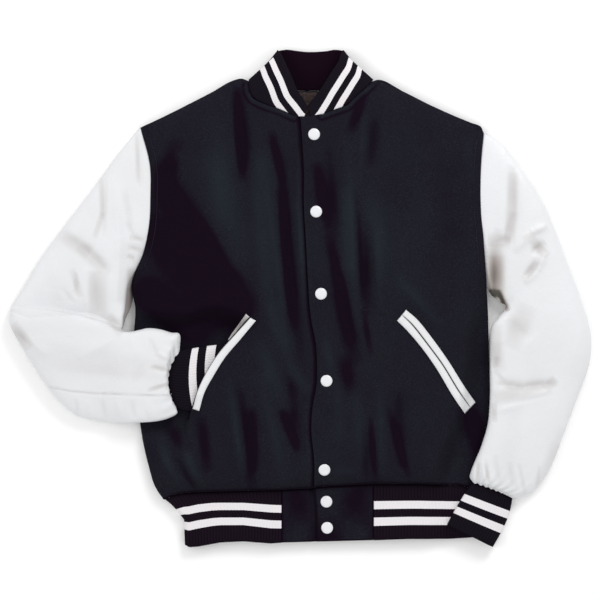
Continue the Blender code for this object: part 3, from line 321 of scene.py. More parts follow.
def felt_group():
    """Felted wool: matted fibres as two crossed stretched noises, and pilling as a coarser one.
    Height is for a bump, Fleck, 0 to 1, for paler fibres."""
    group = bpy.data.node_groups.new("felted fibres", "ShaderNodeTree")
    start, end = sockets(group, Scale="IN", Height="OUT", Fleck="OUT")
    place = object_place(group)
    layers = []
    for turn, stretch in FIBRE_LAYERS:
        turned = node(group, "ShaderNodeMapping", Vector=place, Rotation=(0, 0, turn),
                      Scale=(1.0, stretch, 1.0)).outputs[0]
        layers.append(noise(group, turned, start.outputs["Scale"]))
    fibres = calc(group, "MULTIPLY", layers[0], layers[1])
    pills = calc(group, "MULTIPLY", noise(group, place, PILL_SCALE, detail=2.0), PILL_SHARE)
    joined(group, end.inputs["Height"], calc(group, "ADD", pills, fibres))
    joined(group, end.inputs["Fleck"], scaled(group, fibres, factor=4.0, start=-0.9))
    return group


FELT = felt_group()
# The melton's two colours: painted shade for fold troughs and painted light for fold ridges, mixed by the
# tone attribute.
WOOL_PAINTED_SHADE, WOOL_PAINTED_LIGHT = (0.0062, 0.0026, 0.0077), (0.0122, 0.0159, 0.0213)
WOOL_FLECK, FLECK_MOST, PAINTED_LIGHT_SHARE = (0.034, 0.036, 0.046), 0.48, 0.9
SHEEN_WEIGHT, SHEEN_ROUGHNESS, SHEEN_TINT = 0.008, 0.5, (0.72, 0.75, 0.9, 1.0)


def melton():
    """Black melton: a painted highlight, blue-black, on fold ridges and painted shade, deeper and
    redder, in their troughs, both from the tone attribute, with slow cloudy changes of tone, and with short
    paler fibres where the painted light is."""
    made, tree, shader = painted("black melton", WOOL_PAINTED_LIGHT, roughness=0.95, specular=0.04)
    felt = grouped(tree, FELT, Scale=430.0)
    cloud = scaled(tree, noise(tree, object_place(tree), 14.0, detail=4.0), factor=0.6, start=0.08)
    level = calc(tree, "ADD", calc(tree, "MULTIPLY", painted_shading_of(tree), PAINTED_LIGHT_SHARE), cloud, clamp=True)
    colour = mixed(tree, level, WOOL_PAINTED_SHADE, WOOL_PAINTED_LIGHT)
    # Paler fibres show more where the painted light is.
    fleck_where_lit = calc(tree, "MINIMUM", scaled(tree, level, factor=1.2, start=0.05), FLECK_MOST)
    joined(tree, shader.inputs["Base Color"],
           mixed(tree, calc(tree, "MULTIPLY", felt["Fleck"], fleck_where_lit), colour, WOOL_FLECK))
    bumped(tree, shader, felt["Height"], distance=0.0006, strength=0.4)
    shader.inputs["Sheen Weight"].default_value = SHEEN_WEIGHT
    shader.inputs["Sheen Roughness"].default_value = SHEEN_ROUGHNESS
    shader.inputs["Sheen Tint"].default_value = SHEEN_TINT
    return made


MELTON = melton()


def worn(made, node_name, sewn_on=()):
    """The piece rides on the jacket's one body and stands for its solid, which is hidden."""
    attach(made, "root")
    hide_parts(node_name)
    return made


def curled(rows):
    """Height of the back along the armhole: a square-law rise near its two ends."""
    near_tip = np.clip(1 - rows / CURL, 0, 1) ** 2
    near_underarm = np.clip(1 - (UNDERARM_ROW - rows) / CURL, 0, 1) ** 2
    return (TIP_HEIGHT - SEAM) * near_tip + (UNDERARM_HEIGHT - SEAM) * near_underarm


BACK_STEPS, EDGE_COLUMNS, NECK_COLUMNS = 150, 26, 42
SIDE_RISE, SHOULDER_RISE, NECK_RISE = 0.08, 0.9, 12.0
back_rows = LAST_ROW * crowded(BACK_STEPS, power=1.15)
left_line, right_line = read_curve(LEFT_EDGE, back_rows), read_curve(RIGHT_EDGE, back_rows)
neck_lines = []
for edge_line, neck_row in ((left_line, BACK_NECK[0]), (right_line, BACK_NECK[-1])):
    line = np.column_stack([np.full(len(back_rows), float(neck_row[1])), edge_line[:, 1]])
    line[0, 1] = neck_row[2]
    neck_lines.append(line)
edge_shares = crowded(EDGE_COLUMNS, power=1.7)
back_plan = np.concatenate([
    guided_rows(left_line, neck_lines[0], edge_shares, LEFT_SHOULDER, back_rows),
    guided_rows(*neck_lines, np.linspace(0, 1, NECK_COLUMNS), BACK_NECK, back_rows)[:, 1:-1],
    guided_rows(right_line, neck_lines[1], edge_shares, RIGHT_SHOULDER, back_rows)[:, ::-1]], axis=1)
side_rise = np.clip(1 - edge_shares / SIDE_RISE, 0, 1) ** 2
back_z = np.zeros(back_plan.shape[:2])
for rise, line, columns in ((side_rise, left_line, slice(0, EDGE_COLUMNS)),
                            (side_rise[::-1], right_line, slice(-EDGE_COLUMNS, None))):
    edge_z = np.where(back_rows <= UNDERARM_ROW, curled(back_rows), line[:, 2] - SEAM)
    back_z[:, columns] = rise[None] * edge_z[:, None]
shoulder_z = read_line(TOP_LINE, back_plan[0, :, 0], 2) - SEAM
beside_neck = np.abs(np.linspace(-1, 1, len(shoulder_z) - 2 * EDGE_COLUMNS))
shoulder_z[EDGE_COLUMNS:-EDGE_COLUMNS] *= np.clip(1 - (1 - beside_neck) * NECK_RISE, 0, 1)
shoulder_rise = np.clip(1 - back_rows / SHOULDER_RISE, 0, 1)[:, None] ** 2
back_z = np.maximum(back_z, shoulder_rise * shoulder_z[None])
wool_back = piece("wool_back", np.dstack([back_plan, back_z]), quads(numbered(back_z))[:, ::-1], MELTON,
                  WOOL_THICK)
worn(wool_back, "back_panel")


# ---------------------------------------------------------------- fronts
# Two melton fronts, topstitched beside the armholes.  The right one laps over the left and
# carries the snaps; the left one is slit along its open pocket.  Both blouse over the hem.

CROWN, SIDE_ROLL, SHOULDER_ROLL, HEM_ROLL, HEM_SEAM_HEIGHT = 33.0, 80.0, 60.0, 45.0, 17.0
LAP, LAP_STEP, LAP_FROM, LAP_RAMP = 32.0, 3.8, -7.0, 6.0
EDGE_ROUND, EDGE_DROP, NECK_SLANT = 3.0, 1.3, 0.13
POCKET_ROWS, POCKET_GAP, PRESS_RIM = (11.0, 16.0), 0.7, 30.0
GATHER_FADE, GATHER_START = 14.0, 6.0
FINE_GATHER, FINE_LENGTH, FINE_DRIFT, DRIFT_LENGTH = 1.3, 5.2, 1.4, 23.0
WIDE_GATHER, WIDE_LENGTH, WIDE_START = 1.1, 12.5, 0.8
# Painted light and shade on the body: a share of the fold relief, the seam relief, and a painted shadow along
# the hem seam.
FULL_TONE, SHADE_SHARPNESS, SEAM_PAINTED_SHADE, HEM_SEAM_SHADE, HEM_SHADOW = 11.0, 2.5, 0.5, 0.9, 2.5
TOPSTITCH, TOPSTITCH_ROWS, TOPSTITCH_LIFT = 9.5, (0.35, 8.2), 0.1
TOPSTITCH_GROOVE, GROOVE_WIDTH, GROOVE_FROM, GROOVE_RAMP = 0.45, 1.3, 30, 20
NECK_ALLOWANCE = [
    # distance from the seam, height, width
    (3.5, 0.5, 2.4), (8.0, -0.8, 2.2),
]
LEFT_GUIDE = [
    # row,   x,    y
    (0.0, -91, 318), (1.0, -102, 292), (3.0, -98, 235), (6.0, -88, 130), (9.0, -86, 35),
    (11.0, -90, -25), (12.0, -113, -51), (13.0, -135, -76), (14.0, -153, -104),
    (15.0, -166, -131), (16.0, -180, -176), (18.0, -174, -216), (21.0, -150, -276),
]
RIGHT_GUIDE = [
    # row,  x,   y
    (0.0, 88, 318), (3.0, 90, 236), (7.0, 92, 128), (12.0, 95, -30), (17.0, 100, -160),
    (21.0, 105, -267),
]
FRONT_EDGE = [
    # row,    x,    y
    (0.0, -17, 265), (1.6, -14, 224), (3.0, -12, 188), (4.8, -12, 142), (7.0, -9, 86),
    (9.2, -6, 29), (11.3, -2, -24), (13.1, 6, -70), (13.9, 7, -90), (15.3, 6, -126),
    (16.3, 1, -152), (17.8, -1, -190), (19.4, 3, -231), (21.0, 3, -273),
]
LEFT_NECK = [
    # share, x, y
    (0.00, -91, 318), (0.12, -91.5, 306), (0.30, -86, 293), (0.55, -67, 283),
    (0.80, -46, 276), (1.00, -27, 267),
]
RIGHT_NECK = [
    # share, x, y
    (0.00, 88, 318), (0.14, 82, 311), (0.30, 72, 302), (0.45, 60, 291), (0.60, 50, 282),
    (0.75, 36, 277), (1.00, 15, 269),
]
BODY_FOLDS = [
    # from x,  y,  to x,   y, height, half width
    (-107, 310, -91, 155, -6, 9), (-138, 265, -130, 95, 3.5, 17), (-74, 225, -28, -118, 5, 9),
    (-46, 225, -16, -98, -5, 7), (-21, 150, -3, -34, 2.5, 6), (-107, -118, -86, -280, -6, 7),
    (-121, -112, -101, -260, 4, 6), (-77, -100, -36, -275, 5, 10), (-34, -95, -20, -215, -4, 8),
    (-3, -130, 0, -265, 2, 6), (23, 225, 37, 75, -4, 7), (51, 240, 64, -45, 5, 9),
    (92, 270, 84, 190, -5, 8), (78, 278, 67, 155, 3, 7), (77, 115, 80, -30, -5, 7),
    (94, 108, 100, -25, 4, 7), (36, 15, 65, -100, -6, 12), (120, 35, 190, -42, 4, 8),
    (97, -115, 103, -262, 4, 7), (124, -130, 129, -245, -4, 8), (77, -180, 79, -266, -4, 5),
    (36, -105, 41, -215, 3, 10), (225, 240, 233, 160, 2, 7), (215, -225, 200, -268, 3, 7),
    (-184, -218, -158, -274, 4, 6), (-197, -228, -168, -276, -4, 5), (-218, -222, -187, -278, 3, 5),
    (-192, 205, -216, 168, -2, 6), (30, 45, 67, 45, 1.2, 7), (30, -250, 68, -250, 3, 8),
    (150, 190, 165, 60, 2, 20),
]
LEFT_PRESSED = [
    # x,    y, radius, height
    (-255, -108, 70, 9), (-215, -108, 66, 9), (-182, -112, 60, 9), (-140, -86, 52, 9),
]
RIGHT_PRESSED = [
    # x,   y, radius, height
    (280, -60, 32, 10), (280, -110, 34, 10), (272, -160, 34, 10), (258, -205, 36, 10),
    (245, -245, 40, 10),
]
# Strokes of painted light and shade: a negative tone is painted shade, a positive one painted light on a
# ridge.
BODY_SHADES = [
    # from x,  y,  to x,   y, tone, half width
    (-110, 311, -101, 167, -0.8, 6), (-197, 240, -222, 130, -0.5, 12), (-232, 200, -88, -25, -0.9, 20),
    (-256, 135, -92, -50, -0.9, 32), (-268, 30, -140, -62, -0.9, 26), (-60, 250, -43, 167, -0.7, 7),
    (-46, 178, -29, -54, -0.9, 7), (-18, 223, -13, 1, 0.43, 5), (-85, 223, -57, -54, 0.5, 12),
    (-151, 223, -96, 46, 0.43, 22), (7, 201, 23, 101, -0.8, 8), (20, 112, 59, -65, -0.8, 9),
    (43, -76, 59, -142, -0.5, 12), (48, 167, 54, 23, 0.5, 8), (81, 167, 109, 23, 0.4, 14),
    (65, 156, 73, -10, -0.5, 4), (73, -10, 87, -87, -0.5, 5), (76, 300, 54, 239, -0.6, 8),
    (220, -137, 258, -253, -0.6, 18), (84, -165, 92, -264, -0.7, 5), (109, -154, 142, -264, -0.6, 6),
    (-214, -176, -176, -222, -0.5, 10), (-162, -165, -151, -253, -0.6, 9),
    (-112, -137, -96, -253, 0.5, 6), (-87, -154, -85, -253, -0.8, 7),
    (-46, -154, -18, -225, -0.8, 6), (-79, -54, -35, -165, 0.5, 12), (-40, -87, -2, -137, 0.43, 8),
    (-222, -195, -205, -250, 0.5, 8), (-62, 5, -37, -90, 0.36, 9), (17, -50, 31, -108, 0.36, 6),
    (100, 160, 150, 0, 0.22, 25), (60, -110, 75, -240, 0.29, 9), (-190, -190, -172, -262, 0.29, 7),
]
POCKET_END_DIP = [(-186, -140, -176, -210, -15, 20)]
NECK_SEAMS = [read_curve(neck_table, np.linspace(0, 1, 14)) for neck_table in (LEFT_NECK, RIGHT_NECK)]
EDGE_LINES = []
for edge_table in (LEFT_EDGE, RIGHT_EDGE):
    edge_line = read_curve(edge_table, np.linspace(0, LAST_ROW, 240))[::-1]
    EDGE_LINES.append((edge_line[:, 1], edge_line[:, 0], edge_line[:, 2]))


def fold_relief(x, y, folds, sharpness=2.0, taper=0.7):
    """Sum over the folds of height x share x bell: the bell falls off across the fold's line
    and the share is a power of a sine along it."""
    total = np.zeros_like(x)
    for x0, y0, x1, y1, height, width in folds:
        length = math.hypot(x1 - x0, y1 - y0)
        along = ((x - x0) * (x1 - x0) + (y - y0) * (y1 - y0)) / length ** 2
        across = ((x - x0) * (y1 - y0) - (y - y0) * (x1 - x0)) / length
        share = np.sin(math.pi * np.clip(along, 0.0, 1.0)) ** taper
        total += height * share * np.exp(-np.abs(across / width) ** sharpness)
    return total


def from_line(x, y, line):
    """Signed distance to a line of straight pieces, positive on its left as it runs, and the
    share of the way along it."""
    nearest, share = np.full_like(x, 1e9), np.zeros_like(x)
    for number, ((x0, y0), (x1, y1)) in enumerate(zip(line[:-1], line[1:])):
        length = math.hypot(x1 - x0, y1 - y0)
        along = np.clip(((x - x0) * (x1 - x0) + (y - y0) * (y1 - y0)) / length ** 2, 0, 1)
        gap = np.hypot(x - x0 - along * (x1 - x0), y - y0 - along * (y1 - y0))
        side = np.where((x1 - x0) * (y - y0) - (y1 - y0) * (x - x0) >= 0, 1.0, -1.0)
        closer = gap < np.abs(nearest)
        nearest = np.where(closer, side * gap, nearest)
        share = np.where(closer, (number + along) / (len(line) - 1), share)
    return nearest, share


def bell(distance, width):
    return np.exp(-(distance / width) ** 2)


def eased(share):
    """A share that starts and ends slowly."""
    return share * share * (3 - 2 * share)


def fall(distance, roll):
    """Share of the height lost at a distance from an edge that rolls over like a circle."""
    t = np.clip(distance / roll, 0.0, 1.0)
    return 1.0 - np.sqrt(1.0 - (1.0 - t) ** 2)


def side_distance(x, y):
    """How far a point lies inside the armholes and side seams."""
    (ly, lx, _), (ry, rx, _) = EDGE_LINES
    return np.where(x < 0, x - np.interp(y, ly, lx), np.interp(y, ry, rx) - x)


def seam_relief(x, y):
    """The seam allowance beside the neck seam, a bell up and a bell down, and the groove that
    the topstitching draws beside the armholes, a bell too."""
    relief = np.zeros_like(x)
    for line in NECK_SEAMS:
        gap = np.abs(from_line(x, y, line)[0])
        relief += sum(height * bell(gap - at, width) for at, height, width in NECK_ALLOWANCE)
    above_underarm = np.clip((y - GROOVE_FROM) / GROOVE_RAMP, 0, 1)
    from_stitches = side_distance(x, y) - TOPSTITCH
    return relief - TOPSTITCH_GROOVE * above_underarm * bell(from_stitches, GROOVE_WIDTH)


def body_height(x, y, patches=(), extra_folds=()):
    """Height of the body: a level crown with folds, that rolls off to the shoulders, the side
    seams and the hem, and is pressed down in round patches under other layers."""
    x, y = np.asarray(x, float), np.asarray(y, float)
    (ly, _, lz), (ry, _, rz) = EDGE_LINES
    side_z = np.where(x < 0, np.interp(y, ly, lz), np.interp(y, ry, rz))
    side = fall(side_distance(x, y), SIDE_ROLL)
    top = fall(read_line(TOP_LINE, x) - y, SHOULDER_ROLL)
    above_hem = y - read_line(HEM_SEAM, x)
    inner = CROWN - (CROWN - HEM_SEAM_HEIGHT) * fall(above_hem, HEM_ROLL)
    inner = inner - (inner - read_line(TOP_LINE, x, 2)) * top
    inner = inner + fold_relief(x, y, list(BODY_FOLDS) + list(extra_folds)) * (1 - top)
    gather = np.exp(-np.clip(above_hem, 0, None) / GATHER_FADE) * np.clip(above_hem / GATHER_START, 0, 1)
    fine = FINE_GATHER * np.sin(x / FINE_LENGTH + FINE_DRIFT * np.sin(x / DRIFT_LENGTH))
    inner = inner + gather * (fine + WIDE_GATHER * np.sin(x / WIDE_LENGTH + WIDE_START))
    height = inner - (inner - side_z) * side + seam_relief(x, y)
    for px, py, radius, low in patches:
        weight = np.clip((radius + PRESS_RIM - np.hypot(x - px, y - py)) / PRESS_RIM, 0.0, 1.0)
        height = height - eased(weight) * np.maximum(height - low, 0.0)
    return height


def painted_body_shading(x, y):
    """Painted light and shade on the body: the sum of folds, shade strokes and seams as a tone from -1,
    painted shade in a trough, to 1, painted light on a ridge, less a painted shadow along the hem seam.
    """
    folds = fold_relief(x, y, BODY_FOLDS) / FULL_TONE + fold_relief(x, y, BODY_SHADES, SHADE_SHARPNESS)
    return folds + SEAM_PAINTED_SHADE * seam_relief(x, y) - HEM_SEAM_SHADE * bell(y - read_line(HEM_SEAM, x), HEM_SHADOW)


def placket_columns(offsets, rows):
    """Columns beside the upper front's edge, at the given distances from it."""
    columns = np.repeat(read_curve(FRONT_EDGE, rows)[:, None, :], len(offsets), axis=1)
    columns[..., 0] += np.asarray(offsets)[None, :]
    columns[0, :, 1] += NECK_SLANT * np.abs(np.asarray(offsets))
    columns[-1, :, 1] = read_line(HEM_SEAM, columns[-1, :, 0])
    return columns


def thread_material(name, colour):
    """Twisted sewing thread: a fine slanted wave as its ply."""
    made, tree, shader = painted(name, colour, roughness=0.7, specular=0.3)
    ply = node(tree, "ShaderNodeTexWave", Vector=object_place(tree), Scale=1600.0)
    ply.bands_direction = "DIAGONAL"
    bumped(tree, shader, ply.outputs["Fac"], distance=0.0001, strength=0.4)
    return made


BLACK_THREAD = thread_material("black thread", (0.030, 0.031, 0.040))
WHITE_THREAD = thread_material("white thread", (0.70, 0.69, 0.69))
STITCH_PITCH, STITCH_LENGTH, STITCH_RADIUS, STITCH_SIDES = 3.4, 2.5, 0.26, 5
SPINDLE = [
    # share along half the stitch, share of the radius
    (-1.0, 0.0), (-0.7, 0.8), (0.0, 1.0), (0.7, 0.8), (1.0, 0.0),
]


def run_of(line):
    """Each point's distance from the start of a line of points."""
    return np.concatenate([[0.0], np.cumsum(np.linalg.norm(np.diff(line, axis=0), axis=1))])


def points_at(line, run, places):
    """Points of a line at the given values of its run."""
    return np.column_stack([np.interp(places, run, column) for column in line.T])


def beside(steps):
    """Unit vectors in plan, square to the steps of a line and on its right."""
    square = np.column_stack([steps[:, 1], -steps[:, 0]])
    return square / np.maximum(np.linalg.norm(square, axis=1), 1e-9)[:, None]


def turned_faces(rings, steps):
    """Triangles of a turned form whose points are a pole, rings of points and another pole."""
    index = looped(1 + np.arange(rings * steps).reshape(rings, steps))
    sides, last = quads(index), 1 + rings * steps
    first_fan = np.column_stack([np.zeros(steps, int), index[0, :-1], index[0, 1:]])
    last_fan = np.column_stack([index[-1, :-1], np.full(steps, last), index[-1, 1:]])
    return np.vstack([first_fan, sides[:, [0, 1, 2]], sides[:, [0, 2, 3]], last_fan])


def turned_points(profile, steps):
    """Those points for a profile of places on the axis and radii: axis, side and up columns."""
    turn = np.linspace(0, 2 * math.pi, steps, endpoint=False)
    along, radius = profile[1:-1].T
    rings = np.dstack([np.repeat(along[:, None], steps, axis=1), np.outer(radius, np.cos(turn)),
                       np.outer(radius, np.sin(turn))]).reshape(-1, 3)
    return np.vstack([[profile[0, 0], 0, 0], rings, [profile[-1, 0], 0, 0]])


def stitches(name, line, thread):
    """Short spindles of thread along a line of x, y, z, one at every pitch, half sunk.  Each
    is the same turned form in the axes ahead, side and their cross product."""
    spindle = turned_points(np.array(SPINDLE) * (STITCH_LENGTH / 2, STITCH_RADIUS), STITCH_SIDES)
    template = turned_faces(len(SPINDLE) - 2, STITCH_SIDES)[:, ::-1]
    run = run_of(line)
    at = np.arange(STITCH_PITCH, run[-1] - STITCH_PITCH, STITCH_PITCH)
    centre = points_at(line, run, at)
    ahead = points_at(line, run, at + STITCH_LENGTH / 5) - centre
    ahead /= np.linalg.norm(ahead, axis=1)[:, None]
    side = np.column_stack([-beside(ahead), np.zeros(len(at))])
    basis = np.stack([ahead, side, np.cross(ahead, side)], axis=1)
    points = centre[:, None] + spindle[None] @ basis
    faces = template[None] + (np.arange(len(at)) * len(spindle))[:, None, None]
    made = piece(name, points, faces.reshape(-1, 3), thread)
    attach(made, "root")
    return made


def topstitch_line(edge_table, inward, patches):
    """Line beside an armhole, the topstitch's distance inside it, on the body's surface."""
    line = read_curve(edge_table, np.linspace(*TOPSTITCH_ROWS, 120))
    x, y = line[:, 0] + inward * TOPSTITCH, line[:, 1]
    return np.column_stack([x, y, body_height(x, y, patches) + TOPSTITCH_LIFT])


FRONT_ROWS, SIDE_COLUMNS, LEFT_COLUMNS, RIGHT_COLUMNS, PLACKET_COLUMNS = 230, 52, 34, 30, 20
UNDERLAP, UNDERLAP_COLUMNS, LAP_EDGE_SHADE, EDGE_SHADOW = 12.0, 17, 1.2, 3.5
rows = np.sort(np.concatenate([LAST_ROW * crowded(FRONT_ROWS, power=1.2), POCKET_ROWS]))
side_shares = crowded(SIDE_COLUMNS, power=1.45)
lap_steps = np.linspace(-UNDERLAP, LAP, UNDERLAP_COLUMNS)
edge, guide = read_curve(LEFT_EDGE, rows), read_curve(LEFT_GUIDE, rows)
strip = placket_columns(lap_steps, rows)
side = guided_rows(edge, guide, side_shares, LEFT_SHOULDER, rows)
middle = guided_rows(guide, strip[:, 0], np.linspace(0, 1, LEFT_COLUMNS), LEFT_NECK, rows)
middle = np.concatenate([middle, strip[:, 1:]], axis=1)
away = beside(np.gradient(guide, axis=0))
away *= -np.sign(away[:, :1])
split = (rows > POCKET_ROWS[0]) & (rows < POCKET_ROWS[1])
side[split, -1] += away[split] * POCKET_GAP
side_z = body_height(side[..., 0], side[..., 1], LEFT_PRESSED, POCKET_END_DIP)
side_z[:, 0] = edge[:, 2]
middle_z = body_height(middle[..., 0], middle[..., 1], (), POCKET_END_DIP)
middle_z[:, -len(lap_steps):] -= LAP_STEP * np.clip((lap_steps - LAP_FROM) / LAP_RAMP, 0, 1)
side_index, middle_index = numbered(side_z), side_z.size + numbered(middle_z)
side_index[~split, -1] = middle_index[~split, 0]
left_points = np.vstack([np.dstack(part).reshape(-1, 3) for part in ((side, side_z), (middle, middle_z))])
left_x, left_y = left_points[:, 0], left_points[:, 1]
from_edge = from_line(left_x, left_y, read_curve(FRONT_EDGE, np.arange(LAST_ROW + 1)))[0]
# The lower front gets a painted shadow beside the upper front's edge, added to the body's painted light and
# shade.
wool_left = piece("wool_front_left", left_points, np.vstack([quads(side_index), quads(middle_index)]), MELTON,
                  WOOL_THICK, tone=painted_body_shading(left_x, left_y) - LAP_EDGE_SHADE * bell(from_edge, EDGE_SHADOW))
topstitch = topstitch_line(LEFT_EDGE, 1, LEFT_PRESSED)
worn(wool_left, "front_left",
     sewn_on=[stitches("thread_armhole_left", topstitch, BLACK_THREAD)])

edge, guide = read_curve(RIGHT_EDGE, rows), read_curve(RIGHT_GUIDE, rows)
placket_steps = LAP * (1 - np.linspace(0, 1, PLACKET_COLUMNS)) ** 1.7
strip = placket_columns(placket_steps, rows)
right_plan = np.concatenate([
    guided_rows(edge, guide, side_shares, RIGHT_SHOULDER, rows),
    guided_rows(guide, strip[:, 0], np.linspace(0, 1, RIGHT_COLUMNS), RIGHT_NECK, rows)[:, 1:],
    strip[:, 1:]], axis=1)
right_z = body_height(right_plan[..., 0], right_plan[..., 1], RIGHT_PRESSED)
right_z[:, 0] = edge[:, 2]
right_z[:, -len(placket_steps):] -= EDGE_DROP * fall(placket_steps, EDGE_ROUND)
# Its tone is the body's painted light and shade.
wool_right = piece("wool_front_right", np.dstack([right_plan, right_z]), quads(numbered(right_z))[:, ::-1],
                   MELTON, WOOL_THICK, tone=painted_body_shading(right_plan[..., 0], right_plan[..., 1]))
topstitch = topstitch_line(RIGHT_EDGE, -1, RIGHT_PRESSED)
worn(wool_right, "front_right",
     sewn_on=[stitches("thread_armhole_right", topstitch, BLACK_THREAD)])


# ---------------------------------------------------------------- neck lining
# The bit of brown satin lining that shows in the open neck, lying on the back panel.

LINING_LEFT, LINING_RIGHT, LINING_LOW = -46.0, 36.0, 246.0
LINING_THICK, LINING_TUCK, RIPPLE, RIPPLE_X, RIPPLE_Y = 1.0, 2.0, 0.3, 7.0, 9.0
SATIN_BROWN, SATIN_PAINTED_SHADE, SATIN_PAINTED_GLINT = (0.018, 0.012, 0.012), (0.006, 0.0025, 0.002), (0.078, 0.045, 0.042)


def satin():
    """Brown satin: a fine diagonal weave under a crumpled gloss, its colour mottled at random between painted
    shade and painted glints of the crumples.
    """
    made, tree, shader = painted("brown satin", SATIN_BROWN, roughness=0.5, specular=0.25)
    place = object_place(tree)
    weave = node(tree, "ShaderNodeTexWave", Vector=place, Scale=900.0, Distortion=1.5)
    weave.bands_direction = "DIAGONAL"
    cloud = noise(tree, place, 330.0, detail=5.0)
    # Painted glints and painted shade in a noise mottle.
    joined(tree, shader.inputs["Base Color"],
           mixed(tree, scaled(tree, cloud, factor=2.4, start=-0.75), SATIN_PAINTED_SHADE, SATIN_PAINTED_GLINT))
    joined(tree, shader.inputs["Roughness"], scaled(tree, cloud, factor=0.3, start=0.35))
    bumped(tree, shader, weave.outputs["Fac"], distance=0.0002, strength=0.3)
    return made


lining_x = np.linspace(LINING_LEFT, LINING_RIGHT, 60)
share = np.linspace(0, 1, 40)[:, None]
lining_top = np.interp(lining_x, [row[1] for row in BACK_NECK], [row[2] for row in BACK_NECK]) - LINING_TUCK
lining_y = lining_top[None] * (1 - share) + LINING_LOW * share
ripple = RIPPLE * (1 + np.sin(lining_x / RIPPLE_X)[None] * np.sin(lining_y / RIPPLE_Y))
lining_grid = np.dstack([np.broadcast_to(lining_x, lining_y.shape), lining_y,
                         WOOL_THICK + SEAM + LINING_THICK + ripple])
lining = piece("satin_neck_lining", lining_grid, quads(numbered(lining_y)), satin(), LINING_THICK)
worn(lining, "neck_lining")


# ---------------------------------------------------------------- hem band
# A doubled rib-knit band with two white stripes, from one waistband tab round the back to
# the other.  It is sewn to the body's lower edge and folds over at both sides.

KNIT_THICK, RIB_PITCH, RIB_RELIEF, RIB_STEPS = 2.6, 4.5, 0.28, 5
HEM_TOP, HEM_PRESS, HEM_PRESS_X, HEM_PRESS_WIDTH = 15.0, 4.0, 165.0, 28.0
LEFT_TAB_END, RIGHT_TAB_END, HEM_GAP, HEM_UNDER_GAP, RIB_SCALLOP = -44.0, 89.6, 0.2, 0.4, 0.5
BACK_RIBS, FOLD_RIBS, SCALLOP_POWER = 92, 5, 6
HEM_DOME, DOME_SWING, DOME_LENGTH = 0.9, 0.5, 31.0
HEM_SEAM_SHADOW, HEM_EDGE_SHADE, HEM_EDGE_SHADOW = 0.035, 0.5, 0.03
HEM_FOLD = [
    # share of the height, left x, right x
    (0.00, -213, 237.5), (0.14, -206, 238), (0.28, -198.5, 238), (0.52, -186, 237),
    (0.64, -186, 236), (1.00, -185, 234),
]
HEM_EDGE = [
    # x,    y
    (-186, -355), (-178, -359), (-165, -358), (-133, -352), (-100, -350.5), (-60, -353.5),
    (-45, -352.5), (87, -349), (140, -347), (200, -347), (234, -345),
]
HEM_STRIPES = ((0.25, 0.395), (0.545, 0.695))
HEM_STRIPE_DRIFT = [
    # x, share that the stripes lie lower
    (-210, 0.07), (-190, 0.02), (-165, -0.03), (-145, -0.042), (-100, -0.02), (-44, 0.035), (90, 0.05),
    (238, 0.05),
]
# Knit colours: lit blacks, and painted-shade blacks for grooves and shaded parts.
KNIT_PAINTED_SHADE, KNIT_WINE_SHADE = (0.0038, 0.0014, 0.0042), (0.0078, 0.0018, 0.0070)
KNIT_LIT, KNIT_NAVY = (0.0090, 0.0046, 0.0098), (0.0072, 0.0056, 0.0096)
STRIPE_WHITE, STRIPE_GROOVE_SHADE, GROOVE_SHADE_SHARE = (0.74, 0.715, 0.735), (0.60, 0.57, 0.60), 0.06
LOOP_HEIGHT, BORDER_WAVER = 0.35, 0.003


def knit_group():
    """Rib knit from a UV in ribs and shares of the band: each rib is a rounded column, and its
    loops are a wave of courses that leans to both sides of the rib's middle."""
    group = bpy.data.node_groups.new("rib knit", "ShaderNodeTree")
    start, end = sockets(group, Courses="IN", Height="OUT", Groove="OUT", Across="OUT")
    parts = node(group, "ShaderNodeSeparateXYZ", Vector=group.nodes.new("ShaderNodeUVMap").outputs[0]).outputs
    middle = calc(group, "PINGPONG", parts[0], 0.5)
    phase = calc(group, "ADD", calc(group, "MULTIPLY", parts[1], start.outputs["Courses"]), middle)
    loops = calc(group, "SINE", calc(group, "MULTIPLY", phase, 2 * math.pi))
    column = calc(group, "SINE", calc(group, "MULTIPLY", middle, math.pi))
    courses = calc(group, "MULTIPLY", loops, LOOP_HEIGHT)
    joined(group, end.inputs["Height"], calc(group, "ADD", courses, column))
    joined(group, end.inputs["Groove"], calc(group, "SUBTRACT", 1.0, column, clamp=True))
    joined(group, end.inputs["Across"], parts[1])
    return group


RIB_KNIT = knit_group()


def knit(name, courses, stripes, lit, painted_shade=KNIT_PAINTED_SHADE):
    """Black rib knit with white stripes: each stripe is a step up and a step down in the share
    of the way from the seam to the free edge, its border wavering by a loop.  Painted shade darkens the rib
    grooves, the black towards its shade colour and the white towards grey, and the tone attribute darkens the
    black too."""
    made, tree, shader = painted(name, lit, roughness=0.9, specular=0.06)
    ribs = grouped(tree, RIB_KNIT, Courses=courses)
    border = calc(tree, "ADD", ribs["Across"], calc(tree, "MULTIPLY", ribs["Groove"], BORDER_WAVER))
    mask = 0.0
    for low, high in stripes:
        inside = calc(tree, "MULTIPLY", calc(tree, "GREATER_THAN", border, low),
                      calc(tree, "LESS_THAN", border, high))
        mask = calc(tree, "ADD", inside, mask, clamp=True)
    cloud = scaled(tree, noise(tree, object_place(tree), 30.0), factor=1.0, start=0.3)
    # Painted shade: the rib grooves, by a random share, and the tone attribute.
    depth = calc(tree, "SUBTRACT", calc(tree, "MULTIPLY", ribs["Groove"], cloud), painted_shading_of(tree), clamp=True)
    black = mixed(tree, depth, lit, painted_shade)
    white = mixed(tree, scaled(tree, ribs["Groove"], GROOVE_SHADE_SHARE), STRIPE_WHITE, STRIPE_GROOVE_SHADE)
    joined(tree, shader.inputs["Base Color"], mixed(tree, mask, black, white))
    bumped(tree, shader, ribs["Height"], distance=0.0004, strength=0.2)
    return made


